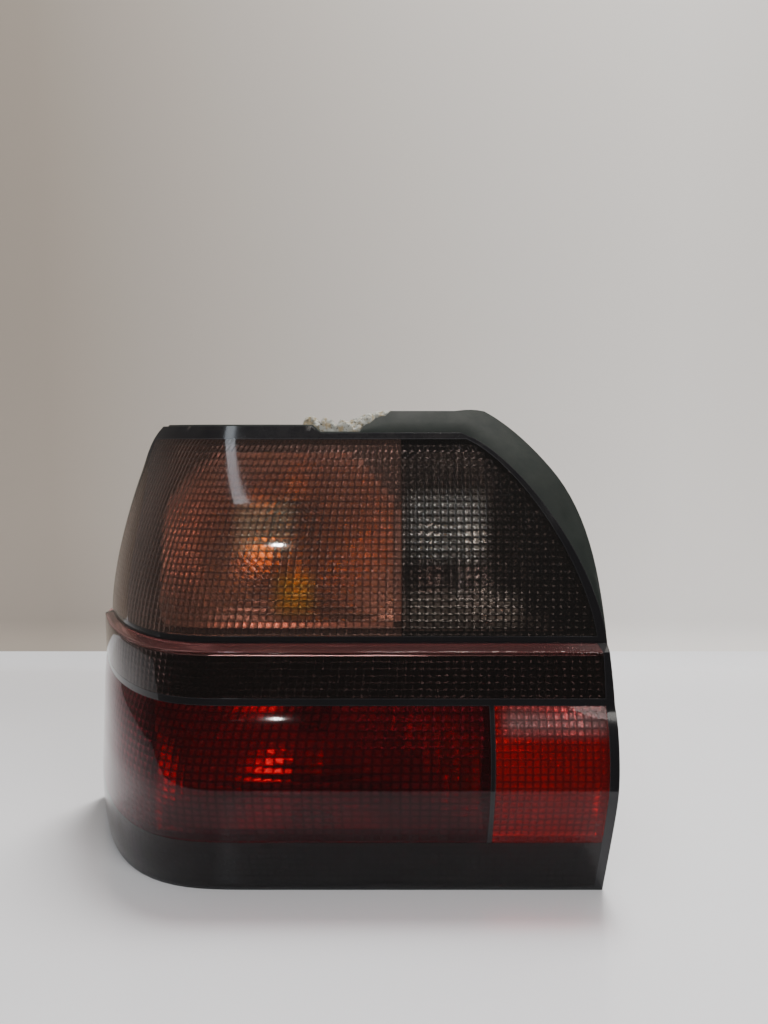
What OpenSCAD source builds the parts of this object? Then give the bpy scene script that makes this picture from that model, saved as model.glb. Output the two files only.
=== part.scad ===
// Left rear tail light cluster of a small hatchback car.
// The lamp stands on its flat lower edge. X runs to the right and Y into the depth, seen by somebody who
// looks at the lens. Z runs up. The lens bulges furthest forward at bulge_z, and wraps round to the left.

/* [Lens outline] */
// Height of the left part of the lens
lens_h = 280.5; // [270:0.5:290]
// Drop of the top edge right of the step
top_step = 4.3; // [1:0.1:6]
// Place of that step, left of the reference line
step_x = 42; // [30:1:55]
// Reference line to the right edge of the lens
right_x = 132.6; // [126:0.1:140]
// Reference line to the end of the straight top edge, where the shoulder falls away
shoulder_x = 47; // [38:1:52]
// Power of the superellipse that shapes the shoulder
shoulder_power = 1.42; // [1.3:0.01:1.6]
// Thickness of the lens wall
lens_t = 3; // [2:0.1:4]

/* [Lens wrap] */
// Reference line to the place where the wrap starts
wrap_x = 69; // [60:1:80]
// Angle that the wrap has turned through far down the flank
wrap_turn = 74; // [68:0.5:80]
// Length along the wrap at which half of that angle is turned
wrap_mid = 86; // [78:1:95]
// Power of the curve that spreads the turn along the wrap
wrap_power = 3.2; // [2.6:0.1:4]
// Depth of the trailing edge at the foot
trail_foot_y = 150; // [140:1:160]
// Depth of the trailing edge at the top
trail_top_y = 80; // [76:1:90]
// How far the flank leans in at the bulge
tuck_low = 11.8; // [8:0.1:14]
// How far it leans in at the ledge
tuck_mid = 9.6; // [7:0.1:12]
// How far it leans in near the top
tuck_high = 19.6; // [14:0.1:22]
// How far it leans in at the top edge
tuck_top = 15; // [10:0.1:20]
// Length along the wrap over which that lean grows
tuck_run = 110; // [90:1:130]

/* [Lens profile] */
// Height of the foremost line of the bulge
bulge_z = 80; // [74:1:86]
// Depth of the foot behind the bulge
foot_y = 27; // [20:0.5:32]
// Sharpness of the bulge below that line
bulge_k = 6; // [3:0.5:8]
// Depth of the crease above the red windows
crease_y = 10.5; // [8:0.5:13]
// Height of the front edge of the ledge
ledge_z = 152; // [148:0.5:156]
// Depth of the front edge of the ledge
ledge_y = 12.5; // [11:0.5:14]
// Depth of the ledge itself
ledge_d = 11.8; // [9:0.1:14]
// Rise of the ledge towards the back
ledge_rise = 1.8; // [1:0.1:2.6]
// How far the upper lens leans back at its top
brow_y = 36; // [30:1:40]
// Power of that lean
brow_power = 2.9; // [2.4:0.1:3.4]

/* [Windows] */
// Height of the foot of the red windows
red_z = 38.3; // [34:0.1:42]
// Height of the smoked band under the ledge
mid_h = 26.7; // [24:0.1:30]
// Height of the plain dark stripe above them
stripe_h = 4.3; // [3:0.1:6]
// Height of the sill of the upper windows above the ledge
sill_h = 4.2; // [3:0.1:6]
// Drop from the top of the lens to the head of the upper windows
head_drop = 8; // [6.5:0.1:10.5]
// Width of the black rim on the right
rim_w = 5.6; // [4:0.1:8]
// Height of the black rim along the foot
foot_rim = 2.2; // [1.5:0.1:4]
// Width of the black strip along the trailing edge
trail_w = 4; // [3:0.1:6]
// Right side of the divider between tail and fog window
divider_x = 62.9; // [55:0.1:68]
// Width of that divider
divider_w = 2.8; // [2:0.1:5]
// Joint between turn and reversing window
split_x = 10.5; // [5:0.5:15]
// Bonding gap between two mouldings of the lens
bond = 0.1; // [0.05:0.05:0.2]

/* [Lens flutes] */
// Height of the flutes inside the lens
flute_h = 0.7; // [0.4:0.1:1.2]
// Number of flutes in the turn window
turn_flutes = 52; // [46:1:56]
// Number of flutes in the reversing window
reverse_flutes = 24; // [20:1:28]
// Number of flutes in the tail window
tail_flutes = 61; // [54:1:64]
// Number of flutes in the fog window
fog_flutes = 15; // [12:1:18]

/* [Housing] */
// Depth of the outside of the rear wall
back_y = 118; // [116:1:122]
// Reference line to the right end of the rear wall
back_right = 127; // [125:1:129]
// Reference line to the left end of the rear wall
back_left = 125; // [115:1:130]
// Drop from the top of the lens to the top of the rear wall
back_drop = 18.5; // [14.5:0.5:24.5]
// Thickness of the housing walls
wall = 2.5; // [2:0.1:3]
// Rounding of the rear edge
back_round = 6; // [4:0.5:8]
// Gap between lens and housing, filled by the weld
weld = 0.3; // [0.2:0.1:0.5]
// Width of the plain weld flange
flange_w = 1; // [0.8:0.1:1.6]
// Set-back of the housing wall from the edge of the lens
set_in = 0.8; // [0.5:0.1:1.2]
// Width of the collar above the top edge
collar_top = 14; // [10:0.5:16]
// Width of the collar beside the shoulder
collar_side = 19; // [14:0.5:21]
// Depth over which the collar flares back
collar_flare = 18; // [12:0.5:22]
// Thickness of flange and collar
collar_t = 2.2; // [1.8:0.1:3]
// Left end of what is left of the collar
collar_end = 14; // [8:1:20]

/* [Reflectors] */
// Thickness of the reflector walls
bowl_t = 1.6; // [1.2:0.1:2]
// Gap between a reflector and its window edges
bowl_gap = 2; // [1.5:0.1:3]
// Radius of the bulb opening in a reflector
bowl_bore = 15.3; // [15:0.1:16.5]
// Distance of the bottom of a bowl from the rear wall
bowl_rise = 3.5; // [3:0.1:5]
// Left end of the two wide reflectors
bowl_left = 134.5; // [128:0.5:140]

/* [Bulbs] */
// Turn bulb, across
turn_x = -62; // [-66:1:-56]
// Turn bulb, share of the height of its window
turn_share = 0.47; // [0.44:0.01:0.49]
// Reversing bulb, across
reverse_x = 42; // [40:1:46]
// Reversing bulb, share of the height of its window
reverse_share = 0.33; // [0.3:0.01:0.36]
// Tail bulb, across
tail_x = -50; // [-56:1:-44]
// Fog bulb, across
fog_x = 88; // [84:1:90]
// Tail and fog bulb, share of the height of their windows
low_share = 0.53; // [0.48:0.01:0.57]
// Radius of a bulb cap
cap_r = 7.5; // [7:0.1:7.8]
// Length of a bulb cap
cap_l = 17; // [15:0.5:19]
// Radius of the glass
glass_r = 12.5; // [11:0.1:13.2]
// Length of a bulb
bulb_l = 47; // [42:0.5:52]

/* [Bulb carrier] */
// Thickness of the carrier plate
plate_t = 3; // [2.5:0.1:4]
// Thickness of its seal
seal_t = 3; // [2.5:0.1:4]
// Width of its seal
seal_w = 5; // [4:0.1:6]
// Margin of the plate round the outer bulbs
plate_margin = 24; // [22:0.5:26]
// Outer radius of a socket tower
tower_r = 11.8; // [11:0.1:12.4]
// Height of a socket tower
tower_h = 14; // [12:0.5:16]
// Radial gap round cap and sleeve
fit = 0.3; // [0.2:0.05:0.4]
// Wall of a socket sleeve
sleeve_t = 0.5; // [0.4:0.05:0.6]
// Thickness of a contact strip
strip_t = 0.8; // [0.6:0.05:1]
// Width of a contact strip
strip_w = 4; // [3:0.1:4.4]
// Distance between two blades in the inlet
blade_pitch = 6.5; // [6:0.1:7]
// Centre of the inlet, across
inlet_x = 12; // [10:0.5:14]
// Centre of the inlet, height
inlet_z = 140; // [134:1:146]
// Inside height of the inlet
inlet_h = 12; // [10:0.5:14]
// Depth of the inlet
inlet_d = 18; // [16:0.5:22]
// Wall of the inlet
inlet_t = 2; // [1.6:0.1:2.5]

/* [Fixings] */
// Diameter of a mounting stud
stud_d = 6; // [5:0.5:8]
// Length of a stud behind its boss
stud_l = 22; // [16:1:28]
// Height of a stud boss
boss_h = 6; // [4:0.5:8]
// Radius of a stud boss
boss_r = 8; // [7:0.5:9]

/* [Hidden] */
$fn = 48;

// Origin of the part: on the flat foot, this far behind the bulge
origin_y = 72;
ledge_top = ledge_z + ledge_rise;
sill_z = ledge_top + sill_h;
stripe_z = ledge_z - mid_h;
crease_z = stripe_z - stripe_h;
head_z = lens_h - head_drop;
back_h = lens_h - back_drop;
right_top = lens_h - top_step;
step_w = 5;
rim_end = 2.1;
// The right edge rounds in towards the ledge, from this height on and by this much
corner_z = ledge_z - 44;
corner_in = 3.9;

// Curves of the lens

function smooth(t) = let (c = max(0, min(1, t))) c * c * (3 - 2 * c);
function mix(p, q, t) = p + (q - p) * t;

// Heading of the wrap after a run of s along it, and the points that it passes
plan_step = 2;
plan_count = 150;
function heading(s) = s <= 0 ? 0 : wrap_turn / (1 + pow(wrap_mid / s, wrap_power));
plan = [for (i = 0, x = 0, y = 0; i <= plan_count;
    x = x + plan_step * cos(heading((i + 0.5) * plan_step)),
    y = y + plan_step * sin(heading((i + 0.5) * plan_step)),
    i = i + 1) [i * plan_step, x, y]];
plan_across = [for (p = plan) [p[0], p[1]]];
plan_deep = [for (p = plan) [p[0], p[2]]];
run_of_depth = [for (p = plan) [p[2], p[0]]];

function run(a) = max(0, -wrap_x - a);
function across(a) = a > -wrap_x ? a : -wrap_x - lookup(run(a), plan_across);
function deep(a) = lookup(run(a), plan_deep);
tuck_knots = [[0, 0], [bulge_z + 10, tuck_low], [ledge_z - 2, tuck_mid], [lens_h - 30, tuck_high],
    [lens_h, tuck_top]];
function tuck_between(p, q, z) = mix(p[1], q[1], smooth((z - p[0]) / (q[0] - p[0])));
function tuck(z, k = 0) = k == len(tuck_knots) - 2 || z < tuck_knots[k + 1][0]
    ? tuck_between(tuck_knots[k], tuck_knots[k + 1], z) : tuck(z, k + 1);
function lean_in(a, z) = tuck(z) * smooth(run(a) / tuck_run);

// Depth of the front of the lens at a height
function bulge(u) = (sqrt(1 + pow(bulge_k * u, 2)) - 1) / (sqrt(1 + bulge_k * bulge_k) - 1);
function front(z) =
    z < bulge_z ? foot_y * bulge((bulge_z - z) / bulge_z)
    : z < crease_z ? crease_y * pow((z - bulge_z) / (crease_z - bulge_z), 2)
    : z < ledge_top ? mix(crease_y, ledge_y, (z - crease_z) / (ledge_z - crease_z))
    : ledge_y + ledge_d + brow_y * pow((z - ledge_top) / (lens_h - ledge_top), brow_power);
function slope(z) = z >= ledge_top ? front(z + 1) - front(z) : front(z) - front(z - 1);
function wall_depth(z) = lens_t * sqrt(1 + pow(slope(z), 2));

// A point of the lens: a is the way along it from the reference line, and q the depth below its surface
function at(a, z, y, q) = let (g = heading(run(a)))
    [across(a) + lean_in(a, z) + q * sin(g), y + deep(a) + q * cos(g) - origin_y, z];
function on_lens(a, z, q) = at(a, z, front(z), q);

// Edges of the lens, as a way along it at a height
function trail_y(z) = mix(trail_foot_y, trail_top_y, z / lens_h);
function trail_a(z) = -wrap_x - lookup(trail_y(z) - front(z), run_of_depth);
function shoulder(z, rx, top) = let (u = (z - ledge_top) / (top - ledge_top))
    u >= 1 ? shoulder_x : shoulder_x + rx * pow(1 - pow(max(0, u), shoulder_power), 1 / shoulder_power);
function corner(z) = corner_in * pow(max(0, (z - corner_z) / (ledge_z - corner_z)), 1.5);
function edge_a(z) = z < ledge_top ? right_x - corner(z)
    : shoulder(z, right_x - rim_end - shoulder_x, right_top);
window_rx = right_x - rim_end - rim_w - shoulder_x;
window_top = head_z + 1;
function window_a(z) = z < ledge_top ? right_x - rim_w - corner(z) * rim_end / corner_in
    : shoulder(z, window_rx, window_top);
function top_z(a) = lens_h - top_step * smooth((a + step_x) / step_w + 0.5);

// Skin between two grids of points, with the cells of the mask left out
function tri(a, b, c, d) = [[a, b, c], [a, c, d]];
module skin(outer, inner, mask = []) {
    ni = len(outer) - 1;
    nj = len(outer[0]) - 1;
    function o(i, j) = i * (nj + 1) + j;
    function n(i, j) = (ni + 1) * (nj + 1) + o(i, j);
    function has(i, j) = i >= 0 && j >= 0 && i < ni && j < nj && (len(mask) == 0 || mask[i][j]);
    points = [for (side = [outer, inner]) for (column = side) each column];
    faces = [for (i = [0:ni - 1]) for (j = [0:nj - 1]) if (has(i, j)) each [
        each tri(o(i, j), o(i + 1, j), o(i + 1, j + 1), o(i, j + 1)),
        each tri(n(i, j), n(i, j + 1), n(i + 1, j + 1), n(i + 1, j)),
        each has(i, j - 1) ? [] : tri(o(i + 1, j), o(i, j), n(i, j), n(i + 1, j)),
        each has(i, j + 1) ? [] : tri(o(i, j + 1), o(i + 1, j + 1), n(i + 1, j + 1), n(i, j + 1)),
        each has(i - 1, j) ? [] : tri(o(i, j), o(i, j + 1), n(i, j + 1), n(i, j)),
        each has(i + 1, j) ? [] : tri(o(i + 1, j + 1), o(i + 1, j), n(i + 1, j), n(i + 1, j + 1))]];
    polyhedron(points, faces, convexity = 10);
}

// A wall of the lens over a grid of [way, height], right to left and foot to top. Every second column of
// its inner face is raised to a flute.
module lens_wall(grid, flute = 0, mask = []) {
    outer = [for (column = grid) [for (p = column) on_lens(p[0], p[1], 0)]];
    inner = [for (i = [0:len(grid) - 1]) [for (p = grid[i]) let (
        z = p[1] == ledge_z ? ledge_z - lens_t : p[1])
        at(p[0], z, front(p[1]), wall_depth(p[1]) + flute * (i % 2))]];
    skin(outer, inner, mask);
}

function steps(from, to, count) = [for (k = [0:count]) mix(from, to, k / count)];
function between(from, to, count) = [for (k = [1:count - 1]) mix(from, to, k / count)];

// Rows of the whole lens and the columns of its black frame
band_z = (stripe_z + ledge_z) / 2;
foot_rows = between(foot_rim, red_z, 3);
red_rows = between(red_z, crease_z, 5);
upper_rows = [for (u = [0.15, 0.29, 0.43, 0.58, 0.72, 0.85, 0.93, 0.97]) mix(sill_z, head_z, u)];
frame_rows = [0, foot_rim, each foot_rows, red_z, each red_rows, crease_z, stripe_z, band_z,
    ledge_z, ledge_top + 0.01, sill_z, each upper_rows, head_z, lens_h];
frame_refs = [divider_x, divider_x - divider_w, 20, -step_x + 3, -step_x - 3, -wrap_x];
wrap_cols = 12;
frame_cols = len(frame_refs) + wrap_cols + 4;
divider_col = 2;
function frame_a(i, z) =
    i == 0 ? edge_a(z) : i == 1 ? window_a(z)
    : i < len(frame_refs) + 2 ? let (r = frame_refs[i - 2])
        (r > 0 && z > ledge_top ? r * window_a(z) / window_a(0) : r)
    : i == frame_cols - 1 ? trail_a(z)
    : mix(-wrap_x, trail_a(z) + trail_w, (i - len(frame_refs) - 1) / (wrap_cols + 1));
function frame_z(i, j) = let (z = frame_rows[j]) z < lens_h ? z : top_z(frame_a(i, right_top));

module lens_frame() {
    rows = len(frame_rows);
    grid = [for (i = [0:frame_cols - 1]) [for (j = [0:rows - 1]) let (z = frame_z(i, j)) [frame_a(i, z), z]]];
    mask = [for (i = [0:frame_cols - 2]) [for (j = [0:rows - 2]) let (z = frame_rows[j])
        i == 0 || i == frame_cols - 2 || z < foot_rim || z >= head_z || z == crease_z
        || (z > ledge_top && z < sill_z) || (i == divider_col && z >= red_z && z < crease_z)]];
    color([0.03, 0.03, 0.035]) lens_wall(grid, 0, mask);
}

// A fluted window of the lens, between two edges that may lean with the height
module window(flutes, rows, right, left) {
    grid = [for (i = [0:2 * flutes]) [for (z = rows) [mix(right(z), left(z), i / (2 * flutes)), z]]];
    lens_wall(grid, flute_h);
}
trail_gap = 5 * bond;
trail_edge = function (z) trail_a(z) + trail_w + trail_gap;
split_edge = function (z) split_x - bond;
rim_edge = function (z) window_a(z) - bond;

module lens_turn() {
    rows = [sill_z + bond, each [for (k = [1, 3, 4, 5, 6]) upper_rows[k]], head_z - bond];
    color([0.45, 0.2, 0.12, 0.8]) window(turn_flutes, rows, split_edge, trail_edge);
}

// The shoulder of the reversing window follows the corners of the rim beside it
shoulder_knots = [for (z = frame_rows) if (z >= sill_z && z <= head_z) [window_a(z), z]];
module lens_reverse() {
    tip_h = 3;
    cells = 8;
    foot = sill_z + bond;
    tip = lookup(sill_z + tip_h, [for (k = shoulder_knots) [k[1], k[0]]]);
    grid = [for (a = steps(tip, split_x + bond, 2 * reverse_flutes)) let (
        head = (a < shoulder_x ? head_z : min(head_z, lookup(a, shoulder_knots))) - 2 * bond)
        [for (z = steps(foot, head, cells)) [a, z]]];
    color([0.25, 0.24, 0.24, 0.8]) lens_wall(grid, flute_h);
}

red_window = [red_z + bond, each red_rows, crease_z - bond];
divider_edge = function (z) divider_x - divider_w - bond;
module lens_tail() {
    color([0.4, 0.02, 0.03, 0.85]) window(tail_flutes, red_window, divider_edge, trail_edge);
}

module lens_fog() {
    color([0.8, 0.03, 0.04, 0.8]) window(fog_flutes, red_window, rim_edge, function (z) divider_x + bond);
}

// Columns of the two plain bands, that run the whole width
function band_a(z) = [rim_edge(z), 30, -20, each steps(-wrap_x, trail_edge(z), 14)];

module lens_foot_band() {
    rows = [foot_rim + bond, each foot_rows, red_z - bond];
    grid = [for (i = [0:len(band_a(0)) - 1]) [for (z = rows) [band_a(z)[i], z]]];
    color([0.1, 0.05, 0.06, 0.85]) lens_wall(grid);
}

// The band above the red windows turns back into the ledge at its top
module lens_mid_band() {
    foot = stripe_z + bond;
    top = ledge_top - bond;
    back = ledge_y + ledge_d;
    columns = len(band_a(0)) - 1;
    outer = [for (i = [0:columns]) [
        at(band_a(foot)[i], foot, front(foot), 0),
        at(band_a(band_z)[i], band_z, front(band_z), 0),
        at(band_a(ledge_z)[i], ledge_z, ledge_y, 0),
        at(band_a(ledge_top)[i], top, back, 0),
        at(band_a(ledge_top)[i], top, back, lens_t)]];
    inner = [for (i = [0:columns]) [
        at(band_a(foot)[i], foot, front(foot), lens_t),
        at(band_a(band_z)[i], band_z, front(band_z), lens_t),
        at(band_a(ledge_z)[i], ledge_z - lens_t, ledge_y, lens_t + bond),
        at(band_a(ledge_top)[i], top - lens_t, back, 0),
        at(band_a(ledge_top)[i], top - lens_t, back, lens_t)]];
    color([0.42, 0.16, 0.17, 0.85]) skin(outer, inner);
}

// Housing: a tub that is lofted from the rim of the lens back to the rear wall

// Broken left end of the collar, and its width along the top and down the shoulder
function collar_top_w(a) = lookup(a + collar_end, [[0, flange_w], [3, 7], [6, 6], [10, 11], [14, 10],
    [18, collar_top], [70, collar_top], [84, collar_side]]);
collar_grow = 0.72 * (right_top - ledge_top);
function collar_side_w(z) = mix(flange_w, collar_side, smooth((z - ledge_top) / collar_grow));

// Stations round the rim: way, height, outward and inward direction, width of the flange
foot_count = 22;
shoulder_count = 28;
bead = 1.2;
function foot_stations() = [
    [right_x, 0, [1, 0], [-1, 1], flange_w],
    for (k = [1:foot_count - 1]) [mix(right_x, trail_a(0), k / foot_count), 0, [0, 0], [0, 1], 0],
    [trail_a(0), 0, [-1, 0], [1, 1], flange_w]];
low_rows = [for (z = frame_rows) if (z > foot_rim && z < ledge_z) z];
high_rows = [for (z = frame_rows) if (z > sill_z && z < head_z) z];
function trail_stations() = [for (z = [each low_rows, ledge_z - lens_t - bond, ledge_top, each high_rows])
    [trail_a(z), z, [-1, 0], [1, 0], flange_w]];
top_ways = [each steps(trail_a(lens_h), -step_x - 2 * step_w, 7),
    -step_x - step_w / 2, -step_x, -step_x + step_w / 2, -collar_end - 13,
    each steps(-collar_end - 1, -collar_end + 18, 6), each steps(-collar_end + 30, shoulder_x - wall, 2)];
function top_stations() = [for (a = top_ways) let (corner = a == top_ways[0] ? 1 : 0)
    [a, top_z(a), [-corner, 1], [corner, -1], collar_top_w(a)]];
function shoulder_stations() = [for (k = [1:shoulder_count]) let (
    z = ledge_top + (right_top - ledge_top) * cos(90 * k / (shoulder_count + 1)),
    lower = z - 0.25, upper = min(z + 0.25, right_top),
    d = [edge_a(lower) - edge_a(upper), upper - lower], n = [d[1], d[0]] / norm(d))
    [edge_a(z), z, n, -n, min(collar_side_w(z), mix(collar_top, collar_side, k / 4))]];
function side_stations() = [for (z = [ledge_top, ledge_z - lens_t - bond,
    for (k = [len(low_rows) - 1:-1:0]) low_rows[k]])
    [edge_a(z), z, [1, 0], [-1, 0], flange_w]];
stations = [each foot_stations(), each trail_stations(), each top_stations(), each shoulder_stations(),
    each side_stations()];

function rim_q(s) = wall_depth(s[1]) + weld;
function rim_point(s, out, q) = let (d = s[2] * out) at(s[0] + d[0], s[1] + d[1], front(s[1]), rim_q(s) + q);
// Along the trailing edge the wall runs on in the direction of the lens, so its inside lies deeper there
function inner_q(s) = rim_q(s) + (s[2][0] < 0 ? wall : 0);
function inner_point(s) = let (d = s[3] * (wall + set_in))
    at(s[0] + d[0], s[1] + d[1], front(s[1]), inner_q(s));
function back_point(s, inset, y) = let (
    x = s[0] > 0 ? s[0] * back_right / right_x : s[0] * back_left / -trail_a(0) * back_fill(s),
    z = s[1] * back_h / lens_h,
    d = [x, z - back_h / 2], t = 1 - inset / norm(d))
    [d[0] * t, y - origin_y, back_h / 2 + d[1] * t];
// The upper end of the trailing edge lies further in, and the rear wall stays as wide there
function back_fill(s) = trail_a(0) / mix(trail_a(0), trail_a(lens_h), s[1] / lens_h);
inner_y = back_y - wall;
function flare(s) = collar_flare * s[4] / collar_side;

// Root of the outer wall behind the flange, and its rear edge, that lies no further forward than the root
function wraps(s) = s[2][0] < 0;
function root_point(s) = rim_point(s, wraps(s) ? 0 : -set_in, 2 * collar_t);
edge_y = back_y - back_round;
function edge_point(s) =
    back_point(s, 0, wraps(s) ? max(edge_y, min(back_y, root_point(s)[1] + origin_y)) : edge_y);
// Inside of that edge: the wall behind the trailing edge keeps its thickness whichever way it runs
function inner_edge(s) = let (
    p = edge_point(s),
    d = p - root_point(s),
    n = [-d[1], d[0]] / norm([d[0], d[1]]))
    wraps(s) ? [p[0] - wall * n[0], p[1] - wall * n[1], p[2] + wall * s[3][1]]
    : back_point(s, wall, s[1] == 0 ? edge_y : inner_y);

// The rear edge ends in a rim of this width, that the rear panel fills
rear_rim = 8;
rings = [
    [for (s = stations) back_point(s, rear_rim, back_y)],
    [for (s = stations) back_point(s, rear_rim, inner_y)],
    [for (s = stations) inner_edge(s)],
    [for (s = stations) inner_point(s)],
    [for (s = stations) rim_point(s, -set_in, 0)],
    [for (s = stations) rim_point(s, s[4] / 2, max(0.2, flare(s) / 2 - bead))],
    [for (s = stations) rim_point(s, s[4], max(0.4, flare(s)))],
    [for (s = stations) rim_point(s, s[4], max(0.4, flare(s)) + collar_t)],
    [for (s = stations) root_point(s)],
    [for (s = stations) edge_point(s)],
    [for (s = stations) back_point(s, s[1] == 0 ? 0 : back_round / 2, back_y)]];

// Solid through a row of rings. A closed one joins its last ring to its first and has no end faces. The
// inner wall is split along the same diagonals as the outer wall, so that the two keep apart.
module loft(rings, closed = false, inner_wall = -1) {
    count = len(rings[0]);
    last = len(rings) - 1;
    faces = [
        each closed ? [] : [[for (i = [0:count - 1]) i], [for (i = [count - 1:-1:0]) last * count + i]],
        each [for (k = [0:(closed ? last : last - 1)]) for (i = [0:count - 1])
            let (j = (i + 1) % count, m = (k + 1) % len(rings))
            each k == inner_wall ? tri(m * count + i, m * count + j, k * count + j, k * count + i)
                : tri(k * count + i, m * count + i, m * count + j, k * count + j)]];
    polyhedron([for (r = rings) each r], faces, convexity = 10);
}

module along_y(y0, y1) {
    translate([0, y1 - origin_y, 0]) rotate([90, 0, 0]) linear_extrude(y1 - y0) children();
}
module rod(x, z, r, y0, y1) {
    translate([x, y1 - origin_y, z]) rotate([90, 0, 0]) cylinder(r = r, h = y1 - y0);
}
module block(x, y, z) {
    translate([x[0], y[0] - origin_y, z[0]]) cube([x[1] - x[0], y[1] - y[0], z[1] - z[0]]);
}

turn_z = mix(sill_z, head_z, turn_share);
reverse_z = mix(sill_z, head_z, reverse_share);
low_z = mix(red_z, crease_z, low_share);
bulbs = [[turn_x, turn_z], [reverse_x, reverse_z], [tail_x, low_z], [fog_x, low_z]];
plate_left = turn_x - plate_margin;
plate_right = fog_x + plate_margin;
plate_foot = low_z - plate_margin - 2;
plate_head = turn_z + plate_margin;
plate_front = back_y + seal_t;
plate_back = plate_front + plate_t;
hooks_z = [for (u = [0.1, 0.4]) mix(plate_foot, plate_head, u)];
studs = [[-104, 24], [104, 30], [-106, back_h - 22], [22, plate_head + 9]];
stud_gap = 0.15;
shank_r = stud_d / 2 + 0.4;
hook_w = 14;
hook_t = 3;
hook_lap = 5;
vents = [[-106, 150], [20, 26]];
spigot_r = 4;
spigot_h = 8;

// Hooks on the rear wall, that reach over the edge of the bulb carrier
module hook(x, z, side) {
    foot = side > 0 ? [x + fit, x + fit + hook_t] : [x - fit - hook_t, x - fit];
    nose = side > 0 ? [x - hook_lap, x + fit + hook_t] : [x - fit - hook_t, x + hook_lap];
    block(foot, [back_y - 1, plate_back + fit + hook_t], [z - hook_w / 2, z + hook_w / 2]);
    block(nose, [plate_back + fit, plate_back + fit + hook_t], [z - hook_w / 2, z + hook_w / 2]);
}

// Rear panel with its bosses, hooks and bores
module rear_panel() {
    difference() {
        union() {
            along_y(inner_y, back_y) polygon([for (i = [0:2:len(stations) - 1])
                let (p = back_point(stations[i], rear_rim / 2, 0)) [p[0], p[2]]]);
            for (p = studs) rod(p[0], p[1], boss_r, back_y - 1, back_y + boss_h);
            for (p = vents) rod(p[0], p[1], spigot_r, back_y - 1, back_y + spigot_h);
            for (z = hooks_z) {
                hook(plate_left, z, -1);
                hook(plate_right, z, 1);
            }
        }
        for (p = bulbs) rod(p[0], p[1], bowl_bore, inner_y - 1, back_y + 1);
        for (p = studs) rod(p[0], p[1], shank_r + stud_gap, inner_y - 1, back_y + boss_h + 1);
    }
}

module housing() {
    color([0.36, 0.39, 0.34]) union() {
        loft(rings, true, 2);
        rear_panel();
    }
}

// What is left of the foam seal: a torn strip that lies on the top wall behind the lens
seal_left = -51;
seal_right = -collar_end - 1;
seal_gap = 0.4;
top_line = [for (s = top_stations()) [s[0], s[1]]];
function seal_wall(a, v) = let (s = [a, lookup(a, top_line), [0, 1], [0, -1], flange_w])
    mix(rim_point(s, -set_in, 2 * collar_t), back_point(s, 0, back_y - back_round), v) + [0, 0, seal_gap];
function seal_height(u) =
    9.5 * pow(sin(180 * mix(0.06, 0.96, u)), 0.4) + 1.6 * sin(1130 * u) + 1.1 * sin(2300 * u);
function seal_swell(u, v) = 1 + 0.12 * sin(1900 * u + 400 * v);
module seal_remnant() {
    profile = [[0.015, 0], [0.015, 0.62], [0.06, 0.95], [0.15, 1], [0.24, 0.8], [0.3, 0.35], [0.3, 0]];
    color([0.72, 0.68, 0.6]) loft([for (u = steps(1, 0, 26)) let (a = mix(seal_left, seal_right, u))
        [for (p = profile) seal_wall(a, p[0] * seal_swell(u, p[1])) + [0, 0, p[1] * seal_height(u)]]]);
}

// Reflector bowls: a paraboloid round the bulb, boxed in by the walls of its cell. It has opened to a
// share of the window's height at this distance in front of its bottom.
bowl_deep = 40;
function focus(share, cell) = pow(share * (cell[1] - cell[0]), 2) / (4 * bowl_deep);
function bowl_r(y, f) = sqrt(max(0, 4 * f * (back_y - wall - bowl_rise - y)));
module paraboloid(p, f, y0, grow) {
    deepest = inner_y - bowl_rise;
    translate([p[0], -origin_y, p[1]]) rotate([-90, 0, 0]) rotate_extrude($fn = 64)
        polygon([[0, y0], each [for (k = [0:9]) let (y = mix(y0, deepest, 1 - pow(1 - k / 10, 2)))
            [bowl_r(y, f) + grow, y + grow]], [0, deepest + grow]]);
}
// A leaning cut keeps the bowl behind the lens: it passes y_foot at the foot and y_head at the head
module behind(x, z, y_foot, y_head) {
    rotate([90, 0, 90]) translate([0, 0, x[0] - 1]) linear_extrude(x[1] - x[0] + 2)
        polygon([[y_foot - origin_y, z[0] - 1], [inner_y - origin_y, z[0] - 1],
            [inner_y - origin_y, z[1] + 1], [y_head - origin_y, z[1] + 1]]);
}
module bowl(p, f, x, z, y_foot, y_head, clip = []) {
    neck_y = inner_y - bowl_rise - bowl_bore * bowl_bore / (4 * f);
    color([0.78, 0.78, 0.76]) difference() {
        union() {
            difference() {
                intersection() {
                    block(x, [0, inner_y], z);
                    paraboloid(p, f, 0, bowl_t);
                    behind(x, z, y_foot, y_head);
                }
                intersection() {
                    block([x[0] + bowl_t, x[1] - bowl_t], [-1, inner_y], [z[0] + bowl_t, z[1] - bowl_t]);
                    paraboloid(p, f, -1, 0);
                }
            }
            rod(p[0], p[1], bowl_bore + bowl_t, neck_y, inner_y);
        }
        rod(p[0], p[1], bowl_bore, inner_y - bowl_rise - 20, inner_y + 1);
        if (len(clip) > 0) along_y(-1, inner_y + 1) polygon(clip);
    }
}

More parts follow.
